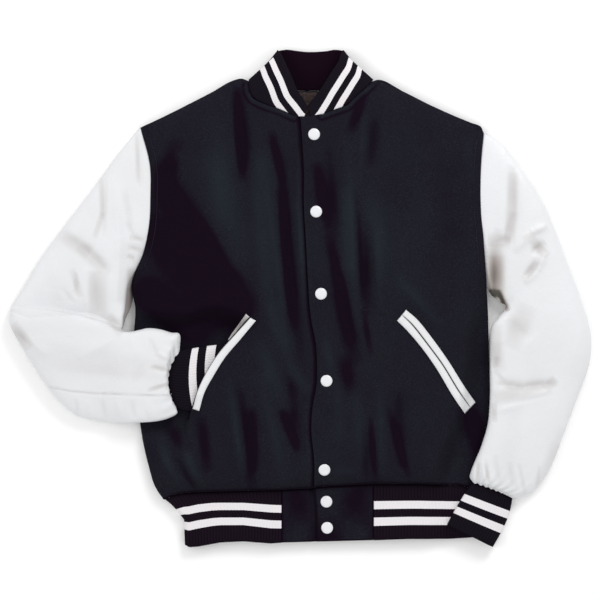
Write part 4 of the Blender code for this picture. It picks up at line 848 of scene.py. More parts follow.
def ribs_along(number):
    """Relief of the ribs at RIB_STEPS points a rib: a sine's size, flattened on top."""
    return RIB_RELIEF * np.abs(np.sin(np.pi * np.asarray(number))) ** 0.7


def hem_height(x):
    """Height of the hem band's top, eased down under the cuff that lies on its right end."""
    pressed = np.clip((np.asarray(x, float) - HEM_PRESS_X) / HEM_PRESS_WIDTH, 0.0, 1.0)
    return HEM_TOP - HEM_PRESS * eased(pressed)


hem_shares = np.linspace(0, 1, 30)[:, None]
left_fold, right_fold = read_line(HEM_FOLD, hem_shares, 1), read_line(HEM_FOLD, hem_shares, 2)
radius = HEM_TOP / 2
left_ribs = int(round((LEFT_TAB_END - left_fold.mean() - radius) / RIB_PITCH))
right_ribs = int(round((right_fold.mean() - radius - RIGHT_TAB_END) / RIB_PITCH))
turn = np.linspace(0, math.pi, 26)[1:-1]
t_left, t_right = np.linspace(0, 1, RIB_STEPS * left_ribs + 1), np.linspace(0, 1, RIB_STEPS * right_ribs + 1)
t_back = np.linspace(0, 1, 3 * BACK_RIBS + 1)
hem_x = np.concatenate([
    (LEFT_TAB_END - SEAM) * (1 - t_left) + (left_fold + radius) * t_left,
    left_fold + radius - radius * np.sin(turn),
    (left_fold + radius) * (1 - t_back) + (right_fold - radius) * t_back,
    right_fold - radius + radius * np.sin(turn),
    (right_fold - radius) * (1 - t_right) + (RIGHT_TAB_END + SEAM) * t_right], axis=1)
hem_layer = np.concatenate([np.ones(len(t_left)), (1 + np.cos(turn)) / 2, np.zeros(len(t_back)),
                            (1 - np.cos(turn)) / 2, np.ones(len(t_right))])
spans = (left_ribs, FOLD_RIBS, BACK_RIBS, FOLD_RIBS, right_ribs)
hem_ribs = np.concatenate([start + t * length for start, t, length in zip(
    np.cumsum([0, *spans[:-1]]), (t_left, turn / math.pi, t_back, turn / math.pi, t_right), spans)])
hem_seam_y = read_line(HEM_SEAM, hem_x) - SEAM - HEM_GAP - HEM_UNDER_GAP * (1 - hem_layer[None])
hem_y = hem_seam_y * (1 - hem_shares) + read_line(HEM_EDGE, hem_x) * hem_shares
hem_y -= RIB_SCALLOP * np.abs(np.sin(np.pi * hem_ribs))[None] * hem_shares ** SCALLOP_POWER
lift = np.clip(hem_layer * 2 - 1, 0, 1)[None]
dome = (HEM_DOME + DOME_SWING * np.sin(hem_x / DOME_LENGTH)) * np.sin(np.pi * hem_shares)
hem_z = hem_height(hem_x) * hem_layer[None] + lift * (ribs_along(hem_ribs)[None] + dome)
hem_uv = np.dstack([np.broadcast_to(hem_ribs, hem_z.shape), hem_shares - read_line(HEM_STRIPE_DRIFT, hem_x)])
hem_faces = quads(numbered(hem_z))[:, ::-1]
# Painted shadow along the seam under the body's edge, and painted shade along the free edge.
hem_painted_shade = -bell(hem_shares, HEM_SEAM_SHADOW) - HEM_EDGE_SHADE * bell(hem_shares - 1, HEM_EDGE_SHADOW)
hem_knit = knit("hem rib knit", courses=46.0, stripes=HEM_STRIPES, lit=KNIT_LIT)
rib_hem = piece("rib_hem", np.dstack([hem_x, hem_y, hem_z]), hem_faces, hem_knit, KNIT_THICK,
                uv=hem_uv.reshape(-1, 2)[hem_faces], tone=hem_painted_shade + 0 * hem_z)
worn(rib_hem, "hem_rib")


# ---------------------------------------------------------------- waistband tabs
# Two doubled melton ends of the waistband.  The right one laps over the left and carries two
# snaps; both are turned and pressed, so their edges are soft and round.

TAB_THICK, TAB_STEP, TAB_FROM, TAB_RAMP, TAB_LIFT = 3.0, 0.8, -9.0, 7.0, 0.3
TAB_ROUND, TAB_DROP, TAB_SEAM_Y, TAB_LENGTH = 3.5, 0.9, -273.0, 80.0
TAB_WAVE, WAVE_X, WAVE_START, WAVE_Y = 0.3, 9, 0.6, 14
TAB_CLOUD, CLOUD_X, CLOUD_Y = 0.25, 13, 17
TAB_SHADE, TAB_EDGE_SHADE, TAB_SHADOW = 0.2, 0.9, 1.6
TAB_EDGE = [
    # y,    x of the upper tab's edge
    (-353, 7.4), (-304, 6.0), (-273, 3.0),
]


def tab(name, cad_node, ends, step):
    """A flat strip between two lines, its height eased down to the edges like a quarter round.
    ends gives the two x for an edge x, step the height lost under the other tab."""
    down, along = np.linspace(0, 1, 60)[:, None], 0.5 - 0.5 * np.cos(np.linspace(0, math.pi, 70))[None]
    edge_x = read_line(TAB_EDGE, TAB_SEAM_Y - TAB_LENGTH * down)
    start, end = ends(edge_x)
    x = start * (1 - along) + end * along
    y = (read_line(HEM_SEAM, x) - SEAM - HEM_GAP) * (1 - down) + read_line(HEM_EDGE, x) * down
    near = np.minimum(np.minimum(along, 1 - along) * np.abs(end - start),
                      np.minimum(down, 1 - down) * TAB_LENGTH)
    waves = TAB_WAVE * np.sin(x / WAVE_X + WAVE_START) * np.sin(y / WAVE_Y)
    z = HEM_TOP - step(x - edge_x) - TAB_DROP * fall(near, TAB_ROUND) + waves
    # Tone on the melton: a cloud of sines, a painted shadow along the edges and painted shade over the whole
    # tab.
    cloud = TAB_CLOUD * np.sin(x / CLOUD_X) * np.sin(y / CLOUD_Y)
    tone = cloud - TAB_EDGE_SHADE * bell(near, TAB_SHADOW) - TAB_SHADE
    made = piece(name, np.dstack([x, y, z]), quads(numbered(z)), MELTON, TAB_THICK, tone=tone)
    return worn(made, cad_node)


def under_step(inside):
    """Height lost under the other tab: a straight ramp over its edge."""
    return (TAB_THICK + TAB_STEP) * np.clip((inside - TAB_FROM) / TAB_RAMP, 0, 1)


tab_left = tab("wool_tab_left", "tab_left", lambda edge: (np.full_like(edge, LEFT_TAB_END), edge + LAP),
               under_step)
tab("wool_tab_right", "tab_right", lambda edge: (edge, np.full_like(edge, RIGHT_TAB_END)),
    lambda inside: -TAB_LIFT + 0 * inside)


# ---------------------------------------------------------------- collar
# A doubled rib-knit collar with two white stripes on its outer side, sewn into the neck.  It
# lies folded at both sides, its fronts over its back, and crosses low at the throat.

NECK_EASE, COLLAR_RIB, COLLAR_WIDTH = 0.4, 3.6, 58.0
COLLAR_ROUND, COLLAR_DROP, COLLAR_CROWN, CROWN_FULL, CROWN_POWER = 4.5, 1.6, 2.6, 18.0, 0.8
STANDS_FROM, STANDS_RAMP = 7.0, 8.0
INSIDE_FROM, INSIDE_TO, UNSTRIPED = 108.0, 287.0, 3.0
INNER_PAINTED_SHADE, OUTER_PAINTED_LIGHT, COLLAR_SEAM_SHADE, COLLAR_SHADOW = -0.8, 0.15, 0.8, 0.04
SMOOTHED = 13
COLLAR = [
    # edge x, y, z,  along, z
    (-8, 278, 31, 0, 29), (-13, 288, 32, 20, 29), (-23, 304, 33, 56, 28), (-32, 326, 33, 79, 26),
    (-39, 341, 31, 97, 24), (-46, 357, 25, 107, 19), (-48, 361.6, 16, 116, 9), (-38, 364, 9, 131, 3.2),
    (-25, 363, 7, 161, 3.0), (-6, 361, 6.5, 194, 3.0), (19, 362, 7, 228, 3.0), (34, 364, 9, 257, 3.2),
    (44, 361.6, 16, 279, 9), (43, 357, 25, 289, 19), (40, 346, 31, 298, 24), (32, 333, 33, 311, 26),
    (20, 314, 33, 331, 28), (10, 299, 32, 355, 29), (1, 287, 31, 375, 29), (-4, 280, 31, 397, 30),
]
NECK_ENDS = ((-11, 265.8), (-3, 266.9))
COLLAR_STRIPES = ((0.20, 0.345), (0.50, 0.645))
COLLAR_STRIPE_DRIFT = [
    # along, distance that the stripes lie nearer the free edge
    (0, 3.1), (56, 0), (340, 0), (397, -3.6),
]


def neck_seam(distances):
    """Points beside the neck seam, from front to front, moved a gap's width to the collar along
    a running mean of the seam's normals."""
    pieces_of = ((np.vstack([NECK_ENDS[0], read_curve(LEFT_NECK, np.linspace(0, 1, 9))[::-1]]), 1),
                 (read_curve(BACK_NECK, np.linspace(0, 1, 9)), -1),
                 (np.vstack([read_curve(RIGHT_NECK, np.linspace(0, 1, 7)), NECK_ENDS[1]]), 1))
    found, normals = [], []
    for line, side_sign in pieces_of:
        run = run_of(line)
        line = points_at(line, run, np.arange(0.5, run[-1], 1.0))
        found.append(line)
        normals.append(beside(np.gradient(line, axis=0)) * side_sign)
    found, pad = np.vstack(found), SMOOTHED // 2
    normals = np.pad(np.vstack(normals), ((pad, pad), (0, 0)), mode="edge")
    mean = np.ones(SMOOTHED) / SMOOTHED
    normals = np.column_stack([np.convolve(column, mean, mode="valid") for column in normals.T])
    moved = found + normals / np.linalg.norm(normals, axis=1)[:, None] * (SEAM + NECK_EASE)
    return points_at(moved, np.arange(len(moved)), distances * (len(moved) - 1) / COLLAR[-1][3])


collar_rows = np.array(COLLAR, float)
seam_at = np.column_stack([neck_seam(collar_rows[:, 3]), collar_rows[:, 4]])
collar_run = run_of((collar_rows[:, :3] + seam_at) / 2)
collar_ribs = int(round(collar_run[-1] / COLLAR_RIB))
collar_along = np.linspace(0, collar_run[-1], RIB_STEPS * collar_ribs + 1)
sections = read_curve(np.column_stack([collar_run, collar_rows]), collar_along)
sewn = np.column_stack([neck_seam(sections[:, 3]), sections[:, 4]])
across = np.linspace(0, 1, 32)[:, None]
collar_grid = sections[None, :, :3] * (1 - across[..., None]) + sewn[None] * across[..., None]
rib_number = np.linspace(0, collar_ribs, len(collar_along))
width = np.linalg.norm(sections[:, :3] - sewn, axis=1)[None]
standing = np.clip((collar_grid[..., 2] - STANDS_FROM) / STANDS_RAMP, 0, 1)
crown = np.minimum(width / CROWN_FULL, COLLAR_CROWN) * np.sin(np.pi * across) ** CROWN_POWER
rolled = COLLAR_DROP * fall(across * width, COLLAR_ROUND)
collar_grid[..., 2] += standing * (ribs_along(rib_number)[None] + crown - rolled)
collar_grid[..., 2] = np.maximum(collar_grid[..., 2], KNIT_THICK + SEAM)
inside = (sections[:, 3] > INSIDE_FROM) & (sections[:, 3] < INSIDE_TO)
collar_index = numbered(collar_grid)
collar_faces = quads(collar_index)
from_free_edge = across * width + read_line(COLLAR_STRIPE_DRIFT, sections[:, 3])
collar_uv = np.dstack([np.broadcast_to(rib_number, collar_index.shape), from_free_edge / COLLAR_WIDTH])
corner_uv = collar_uv.reshape(-1, 2)[collar_faces]
corner_uv[..., 1] += UNSTRIPED * inside[collar_faces % len(inside)].all(axis=1)[:, None]
# Painted shade on the collar's inside at the back, a little painted light on its fronts, and a painted shadow
# along the neck seam.
collar_painted_shade = (np.where(inside, INNER_PAINTED_SHADE, OUTER_PAINTED_LIGHT)[None]
               - COLLAR_SEAM_SHADE * bell(across - 1, COLLAR_SHADOW))
collar_knit = knit("collar rib knit", courses=38.0, stripes=COLLAR_STRIPES, lit=KNIT_NAVY, painted_shade=KNIT_WINE_SHADE)
rib_collar = piece("rib_collar", collar_grid, collar_faces, collar_knit, KNIT_THICK, uv=corner_uv,
                   tone=collar_painted_shade)
worn(rib_collar, "collar_rib")


# ---------------------------------------------------------------- sleeves
# Two white leather sleeves, each a flattened tube set into its armhole and gathered into its
# cuff.  The left one is folded over at the elbow; the right one hangs beside the body.

LEATHER_THICK, SLEEVE_EDGE, TOP_POINTS, UNDER_POINTS, TOP_POWER, UNDER_POWER = 1.6, 0.4, 97, 26, 0.75, 0.35
REST, REST_LEDGE, REST_START, REST_RAMP = 11.8, 8.0, 30.0, 45.0
SLEEVE_GATHER, GATHER_COUNT, GATHER_SHIFT, SLEEVE_GATHER_FADE = 1.5, 7.5, 0.3, 15.0
SCALLOP, SCALLOP_COUNT, SCALLOP_FADE = 1.8, 8, 4.5
ELBOW_OVER, ELBOW_OVER_FADE, ELBOW_UNDER, ELBOW_UNDER_FADE, ELBOW_EDGE = 2.6, 24.0, 1.6, 14.0, 1.2
SEAM_GROOVE, SEAM_GROOVE_WIDTH, SEAM_END, ELBOW_END = 1.3, 1.5, 25, 9
LIP_REACH, LIP_BELOW, LIP_POWER = 30.0, 3, 10
HEAD_ROWS, HEAD_LEAN, HEAD_RAMP, LOOK_AHEAD = 30, 0.3, 2.2, 0.05
# Painted shade on the sleeve's lower side near the underarm.
UNDERSIDE_SHADE, UNDER_REACH, UNDERSIDE_POWER = 0.6, 45.0, 4
LEFT_RINGS = [
    # ax,   ay,   bx,   by,  bow, lift, height
    (-281, 213, -269, 15, -14, 0, 27), (-319, 161, -270, 5, -6, 0, 30), (-358, 110, -271, -5, 0, 0, 31),
    (-392, 64, -272, -15, -2, 0, 30), (-416, 23, -274, -25, -5, 0, 27), (-435, -6, -275, -38, -7, 0, 23),
    (-438, -15, -276, -43, -9, 0, 31), (-438, -38, -271, -46, -8, 0, 35), (-420, -72, -265, -46, -5, 0, 35),
    (-399, -106, -258, -45, 0, 0, 34), (-373, -142, -249, -43, 0, 0, 33), (-342, -168, -240, -41, 0, 0, 31),
    (-300, -177, -230, -41, 0, 0, 29), (-257, -178, -218, -43, 0, 0, 27), (-220, -175, -205, -47, -3, 0, 26),
    (-197, -166, -192, -50, -15, 0, 21), (-197, -157, -192, -73, -15, 2.4, 9),
]
RIGHT_RINGS = [
    # ax,   ay,  bx,   by,  bow, lift, height
    (284, 219, 262, 6, -9, 0, 27), (312, 180, 269, 0, -3, 0, 31), (334, 145, 274, -4, 0, 0, 32),
    (352, 104, 279, -6, 0, 0, 32), (368, 62, 282, -9, 0, 0, 32), (384, 19, 280, -14, 0, 0, 33),
    (397, -17, 275, -20, 0, 0, 34), (405, -50, 268, -28, 0, 0, 34), (405, -80, 259.5, -41, 0, 0, 33),
    (400, -104, 258, -70, 0, 0, 31), (390, -130, 258, -105, 0, 0, 29), (378, -162, 258, -142, 0, 0, 30),
    (365, -197, 255, -178, 0, 0, 30), (352, -232, 246, -210, 0, 0, 29), (338, -258, 237, -232, 0, 0, 27),
    (318, -280, 231, -247, 0, 0, 25), (302, -287, 229, -257, -2, 0, 20), (292, -288, 233, -264, -2, 2.4, 9),
]
SLEEVE_FOLDS = [
    # from x,  y,  to x,   y, height, half width
    (-254, 244, -250, 160, -3, 5), (-300, 186, -303, 88, -3.5, 4), (-286, 175, -277, 60, 3.5, 8),
    (-278, 95, -285, -30, 3.5, 8), (-268, 113, -258, 90, -2.6, 3), (-262, 93, -241, 87, -2.6, 3),
    (-269, 79, -245, 73, -2.4, 3), (-269, 64, -255, 61, -2.0, 3), (-362, 96, -318, 68, -4, 8),
    (-330, 78, -290, 34, -4, 8), (-374, 70, -364, 0, 3, 13), (-318, 42, -312, -20, -4, 10),
    (-326, 48, -326, -20, 2.5, 4), (-342, 40, -342, 4, -3.5, 3), (-364, 18, -346, -5, -2, 4),
    (-434, -42, -409, -66, -5, 5), (-418, -52, -380, -82, 3, 8), (-395, -100, -262, -112, -2, 14),
    (-340, -86, -272, -48, 3, 10), (-344, -142, -339, -172, -2.4, 3.5), (-325, -143, -321, -174, 2, 4),
    (-306, -143, -300, -174, -2.4, 3.5), (-282, -144, -276, -174, 2, 4), (-262, -144, -256, -174, -2.2, 3.5),
    (-238, -144, -234, -172, 2, 4), (-204, -121, -236, -131, -2.8, 3.5), (-203, -104, -232, -96, -2.8, 3.5),
    (-202, -88, -226, -78, 2.5, 5), (-262, -52, -246, -96, 2, 7), (-236, -54, -222, -84, -2.2, 4),
    (290, 196, 293, 112, -5, 7), (294, 128, 280, 82, -5, 6), (286, 90, 254, 78, -4, 5),
    (345, 108, 316, 97, 4, 6), (322, 102, 292, 70, 4, 7), (338, 84, 318, 68, -6, 6),
    (327, 54, 309, 32, -5, 6), (338, 68, 327, 42, 4, 5), (331, 48, 308, 24, 4, 5),
    (276, -20, 318, -58, -5, 14), (264, -121, 306, -126, -6, 6), (296, -126, 354, -120, -5, 6),
    (268, -82, 262, -102, -4, 5), (262, -102, 280, -122, -3, 4), (262, -162, 306, -147, 3, 7),
    (264, -156, 352, -135, -2.5, 4), (294, -148, 352, -131, 3, 7), (240, -233, 240, -262, -3, 3),
    (250, -230, 256, -266, -3, 3), (246, -226, 250, -262, 2.5, 4), (264, -224, 274, -272, -2.5, 4),
    (286, -234, 296, -280, -2.5, 4), (368, -185, 350, -238, -2.5, 8), (398, -20, 372, -110, 2, 14),
    (300, -20, 330, -110, 2, 16), (345, 150, 375, 60, -2, 9), (262, 64, 262, 4, -7, 6),
    (268, 10, 281, -13, -6, 3),
]
SLEEVE_SHADES = [
    # from x,  y,  to x,   y, tone, half width
    (-366, 97, -322, 66, -0.12, 10), (-338, 80, -300, 44, -0.13, 10), (-310, 42, -310, -28, -0.13, 14),
    (-306, 178, -304, 118, -0.17, 3.5), (-303, 128, -315, 90, -0.15, 4), (-348, 46, -335, 4, -0.13, 5),
    (-436, -35, -408, -70, -0.20, 9), (-409, -72, -213, -105, -0.06, 18), (-240, -100, -262, -112, -0.05, 8),
    (-204, -121, -238, -131, -0.16, 3), (-203, -104, -234, -96, -0.16, 3), (-205, -88, -228, -78, -0.12, 3),
    (-255, 242, -252, 170, -0.12, 3), (-265, 91, -244, 86, -0.20, 2.5), (-268, 76, -244, 71, -0.20, 2.5),
    (-268, 65, -256, 57, -0.16, 3), (-272, 160, -262, 106, -0.07, 5), (-296, -22, -274, -50, -0.15, 7),
    (292, 186, 286, 80, -0.17, 8), (254, 88, 288, 84, -0.18, 9), (268, -60, 272, -104, -0.10, 9),
    (262, 100, 276, 96, -0.10, 6), (342, 107, 304, 88, -0.12, 4),
    (317, 90, 341, 62, -0.20, 7), (329, 61, 307, 30, -0.18, 6), (286, -70, 314, -6, -0.11, 15),
    (266, -34, 264, -98, -0.17, 9), (262, -142, 338, -125, -0.17, 10), (337, -130, 354, -114, -0.20, 7),
    (264, -148, 264, -177, -0.18, 4), (360, -206, 334, -273, -0.09, 12), (240, -234, 239, -262, -0.15, 2.5),
    (251, -236, 256, -266, -0.15, 2.5), (300, -236, 310, -284, -0.10, 3), (330, -240, 326, -276, -0.10, 3),
]
UNDERARM_SHADES = [
    # from x,  y,  to x,   y, tone, half width
    (-263, 48, -261, -38, -0.55, 6), (265, 82, 263, -4, -0.62, 11), (274, 66, 274, 4, -0.25, 6),
    (253, 9, 272, 9, -0.95, 6), (270, 15, 284, -17, -1.0, 4),
]
ELBOW_FOLD = [(-440, -17), (-412, -27), (-361, -22), (-326, -20), (-310, -24), (-292, -36), (-272, -50)]
FOREARM_SEAM = [(-386, -126), (-348, -133), (-313, -136), (-268, -137), (-226, -139), (-198, -138)]
LEATHER_PALE, LEATHER_SHADE = (0.720, 0.730, 0.750), (0.665, 0.660, 0.665)
# Painted-shade colours for creases and deep folds.
LEATHER_CREASE_SHADE, LEATHER_DEEP_SHADE = (0.33, 0.29, 0.27), (0.075, 0.068, 0.058)
# Shares of painted shade from crease and seam-groove relief, after the share of random wear.
WORN_SHARE, CREASE_SHADE_SHARE, SEAM_GROOVE_SHADE = 0.45, 0.03, 0.09


def grain_group():
    """Leather grain: small rounded cells under long shallow wrinkles.
    Height is for a bump, Worn, 0 to 1, where the finish is duller."""
    group = bpy.data.node_groups.new("leather grain", "ShaderNodeTree")
    start, end = sockets(group, Cells="IN", Height="OUT", Worn="OUT")
    place = object_place(group)
    cells = node(group, "ShaderNodeTexVoronoi", Vector=place, Scale=start.outputs["Cells"])
    cells.feature = "SMOOTH_F1"
    wrinkles = node(group, "ShaderNodeTexNoise", Vector=place, Scale=55.0, Detail=6.0, Roughness=0.62,
                    Distortion=0.9).outputs["Fac"]
    pores = calc(group, "MULTIPLY", cells.outputs["Distance"], 0.25)
    joined(group, end.inputs["Height"], calc(group, "ADD", pores, wrinkles))
    joined(group, end.inputs["Worn"], scaled(group, noise(group, place, 20.0), factor=2.2, start=-0.66))
    return group


GRAIN = grain_group()


def leather(name):
    """White leather: fine grain and a soft uneven gloss, with painted shade from the tone attribute,
    warm grey in its creases up to a trough of two thirds, and nearly black in a full one."""
    made, tree, shader = painted(name, LEATHER_PALE, roughness=0.42, specular=0.4)
    grain = grouped(tree, GRAIN, Cells=620.0)
    colour = mixed(tree, calc(tree, "MULTIPLY", grain["Worn"], WORN_SHARE), LEATHER_PALE, LEATHER_SHADE)
    # Painted shade: warm grey, then nearly black, as the tone falls.
    trough = calc(tree, "MULTIPLY", painted_shading_of(tree), -1.0, clamp=True)
    crease_shaded = mixed(tree, scaled(tree, trough, factor=1.5), colour, LEATHER_CREASE_SHADE)
    joined(tree, shader.inputs["Base Color"],
           mixed(tree, scaled(tree, trough, factor=3.0, start=-2.0), crease_shaded, LEATHER_DEEP_SHADE))
    joined(tree, shader.inputs["Roughness"], scaled(tree, grain["Worn"], factor=0.16, start=0.36))
    bumped(tree, shader, grain["Height"], distance=0.0016, strength=0.45)
    return made


WHITE_LEATHER = leather("white sleeve leather")


def resting_height(x, y):
    """Height at which a sleeve lies: the floor, or a smooth ramp up onto the body's edge."""
    ramp = np.clip(1.0 + (side_distance(x, y) + REST_LEDGE) / REST_RAMP, 0.0, 1.0)
    below = np.clip(-y / REST_START, 0.0, 1.0)
    return REST * eased(ramp) * eased(below)


def ring_plan(rings, outward, shares):
    """Level places of the rings' points: lines from A to B, bowed like parabolas along the
    direction to the cuff, which is given too."""
    ax, ay, bx, by, bow = (rings[:, column, None] for column in range(5))
    forward = np.dstack([ay - by, bx - ax]) * outward / np.hypot(bx - ax, by - ay)[..., None]
    bend = bow * 4 * shares * (1 - shares)
    x, y = ax + (bx - ax) * shares, ay + (by - ay) * shares
    return x + forward[..., 0] * bend, y + forward[..., 1] * bend, forward


def sleeve_relief(x, y):
    """Creases of the upper side, with the left sleeve's own lines: its elbow fold, a step from
    the upper arm to the forearm that fades away to both sides, and its narrow seam groove."""
    gap, along = from_line(x, y, ELBOW_FOLD)
    over = 0.5 - 0.5 * np.tanh(gap / ELBOW_EDGE)
    step = (over * ELBOW_OVER * np.exp(-np.abs(gap) / ELBOW_OVER_FADE)
            - (1 - over) * ELBOW_UNDER * np.exp(-np.abs(gap) / ELBOW_UNDER_FADE))
    step *= np.clip((1 - along) * ELBOW_END, 0, 1)
    seam_gap, seam_share = from_line(x, y, FOREARM_SEAM)
    groove = -SEAM_GROOVE * bell(seam_gap, SEAM_GROOVE_WIDTH)
    groove *= np.clip(np.minimum(seam_share, 1 - seam_share) * SEAM_END, 0, 1)
    is_left = x < 0
    return fold_relief(x, y, SLEEVE_FOLDS, sharpness=1.6) + step * is_left, groove * is_left


def sleeve(name, edge_table, rings, outward, steps, lip):
    """A tube of rings read smoothly from the table, drawn to the armhole by a parabola over
    its first part.  A ring is full on top and flat below: powers of a sine over its turn.  Its
    lower side stands out by lip at the underarm, as a bell.  Scallops and gathers fade from
    the cuff like exponentials."""
    turn = np.concatenate([np.linspace(0, math.pi, TOP_POINTS),
                           np.linspace(math.pi, 2 * math.pi, UNDER_POINTS)[1:-1]])
    shares, sine, upper = (1 - np.cos(turn)) / 2, np.sin(turn), turn <= math.pi
    level = np.where(upper, np.abs(sine) ** TOP_POWER, -np.abs(sine) ** UNDER_POWER)
    above = np.where(upper, SLEEVE_EDGE + (1 - SLEEVE_EDGE) * level, SLEEVE_EDGE * (1 + level))
    found = read_numbered(rings, np.linspace(0, len(rings) - 1, steps))
    x, y, forward = ring_plan(found, outward, shares)
    run = run_of(np.column_stack([x.mean(axis=1), y.mean(axis=1)]))
    to_end = (run[-1] - run)[:, None]
    scallop = SCALLOP * np.abs(np.sin(math.pi * SCALLOP_COUNT * shares)) * np.exp(-to_end / SCALLOP_FADE)
    x, y = x + forward[..., 0] * scallop, y + forward[..., 1] * scallop
    x = x + lip * np.clip(-LIP_BELOW * level, 0, 1) * shares ** LIP_POWER * bell(y, LIP_REACH)
    z = resting_height(x, y) + found[:, 5:6] + found[:, 6:7] * above
    gather = np.sin(2 * math.pi * (GATHER_COUNT * shares + GATHER_SHIFT))
    gather = gather * np.exp(-to_end / SLEEVE_GATHER_FADE) * SLEEVE_GATHER
    body = np.dstack([x, y, z + np.maximum(level, 0) * gather])
    hole_rows = UNDERARM_ROW * np.where(upper, turn, 2 * math.pi - turn) / math.pi
    line = read_curve(edge_table, hole_rows)
    away = beside(read_curve(edge_table, hole_rows + LOOK_AHEAD)
                  - read_curve(edge_table, np.maximum(hole_rows - LOOK_AHEAD, 0)))
    line[:, :2] += away * np.sign(away[:, :1] * outward) * SEAM
    line[:, 2] = np.where(upper, line[:, 2], curled(hole_rows))
    t = np.linspace(0, 1, HEAD_ROWS)[:-1, None, None]
    lean = body[0] - (body[steps // (len(rings) - 1)] - body[0]) * HEAD_LEAN
    head = line[None] * (1 - t) ** 2 + lean[None] * 2 * t * (1 - t) + body[:1] * t ** 2
    head[..., 2] = np.maximum(head[..., 2], 0.0)
    grid = np.concatenate([head, body])
    weight = np.concatenate([np.clip(t[..., 0] * HEAD_RAMP, 0, 1) * np.ones(len(turn)), np.ones(z.shape)])
    weight *= np.maximum(level, 0)
    relief, groove = sleeve_relief(grid[..., 0], grid[..., 1])
    grid[..., 2] += weight * (relief + groove)
    shades = fold_relief(grid[..., 0], grid[..., 1], SLEEVE_SHADES, sharpness=4.0, taper=0.35)
    shades += fold_relief(grid[..., 0], grid[..., 1], UNDERARM_SHADES, sharpness=2.2, taper=0.5)
    # Painted shade in the creases and the seam groove, the strokes of painted shade, and painted shade on the
    # lower side beside the underarm.
    tone = CREASE_SHADE_SHARE * np.minimum(relief, 0) + SEAM_GROOVE_SHADE * groove + shades
    underside_shade = -UNDERSIDE_SHADE * bell(grid[..., 1], UNDER_REACH) * shares ** UNDERSIDE_POWER
    faces = quads(looped(numbered(grid)))
    made = piece(name, grid, faces[:, ::-1] if outward > 0 else faces, WHITE_LEATHER, LEATHER_THICK,
                 tone=np.where(level > 0.01, tone, underside_shade))
    return made, grid[:, upper].reshape(-1, 3)


SEAM_STITCH_LIFT = 0.15


def laid_on(line, points):
    """The line's places at the height of the nearest of the points."""
    fine = points_at(np.array(line, float), np.arange(len(line)), np.linspace(0, len(line) - 1, 90))
    gaps = ((fine[:, None] - points[None, :, :2]) ** 2).sum(axis=2)
    return np.column_stack([fine, points[gaps.argmin(axis=1), 2] + SEAM_STITCH_LIFT])


STITCHES_OFF_SEAM = 2.0
sleeve_left, left_upper = sleeve("leather_sleeve_left", LEFT_EDGE, LEFT_RINGS, outward=-1, steps=330,
                                 lip=10.0)
stitch_line = laid_on([(x, y + STITCHES_OFF_SEAM) for x, y in FOREARM_SEAM], left_upper)
worn(sleeve_left, "sleeve_left",
     sewn_on=[stitches("thread_forearm", stitch_line, WHITE_THREAD)])
sleeve_right = sleeve("leather_sleeve_right", RIGHT_EDGE, RIGHT_RINGS, outward=1, steps=280, lip=0.0)[0]
worn(sleeve_right, "sleeve_right")


# ---------------------------------------------------------------- cuffs
# Doubled rib-knit tubes with two white stripes, sewn into the gathered ends of the sleeves.
# The left one goes into the open pocket, the right one lies on the hem band's end.

CUFF_RIB, CUFF_GAP, CUFF_ROWS, OVAL_POWER, CUFF_END_SHADE, CUFF_SHADOW = 3.6, 0.7, 30, 8, 0.9, 0.04
LEFT_CUFF = [
    # ax,   ay,   bx,   by, bow, lift, height
    (-197, -157, -192, -73, -15, 2.4, 8), (-175, -161, -176, -70.5, -6, 1.8, 8),
    (-141, -148, -145, -65.7, -5, 1.8, 8), (-112, -138, -110, -63, -4, 1.8, 8),
]
RIGHT_CUFF = [
    # ax,   ay,  bx,   by, bow, lift, height
    (292, -288, 233, -264, -2, 2.4, 8.5), (288, -308, 221, -282, 0, 1.0, 9.5),
    (279, -331, 209, -302, 0, 0.6, 9.5), (263, -359, 196, -326, 0, 0.6, 9.5),
]


def cuff(name, cad_node, rings, outward, stripes):
    """A tube whose section is a flat oval, 1 - |2s - 1|^8 under a root, with ribs on top."""
    ribs = int(round(math.hypot(rings[0][2] - rings[0][0], rings[0][3] - rings[0][1]) / CUFF_RIB))
    top = np.linspace(0, 1, RIB_STEPS * ribs + 1)
    shares = np.concatenate([top, top[::-1][1:-1]])
    bulge = np.sqrt(1 - np.abs(2 * shares - 1) ** OVAL_POWER)
    bulge = bulge * np.where(np.arange(len(shares)) < len(top), 1, -1)
    number = np.linspace(0, len(rings) - 1, CUFF_ROWS)
    found = read_numbered(rings, number)
    x, y, forward = ring_plan(found, outward, shares)
    ahead = forward * (CUFF_GAP * np.clip(1 - number, 0, 1))[:, None, None]
    z = resting_height(x, y) + found[:, 5:6] + found[:, 6:7] / 2 * (1 + bulge)
    z = z + np.where(bulge > 0, ribs_along(shares * ribs), 0.0)
    grid = np.dstack([x + ahead[..., 0], y + ahead[..., 1], z])
    run = run_of(np.column_stack([x.mean(axis=1), y.mean(axis=1)]))
    length = run[:, None] / run[-1]
    index = numbered(grid)
    corner = np.arange(len(index) * (index.shape[1] + 1)).reshape(len(index), -1)
    uv = np.dstack([np.broadcast_to(np.linspace(0, 2 * ribs, corner.shape[1]), corner.shape),
                    np.broadcast_to(length, corner.shape)]).reshape(-1, 2)
    faces, corners = quads(looped(index)), quads(corner)
    if outward > 0:
        faces, corners = faces[:, ::-1], corners[:, ::-1]
    rib_knit = knit(name.replace("_", " ") + " knit", courses=46.0, stripes=stripes, lit=KNIT_NAVY)
    # Painted shadow at the end sewn into the sleeve.
    made = piece(name, grid, faces, rib_knit, KNIT_THICK, uv=uv[corners],
                 tone=-CUFF_END_SHADE * bell(length, CUFF_SHADOW) + 0 * z)
    worn(made, cad_node)


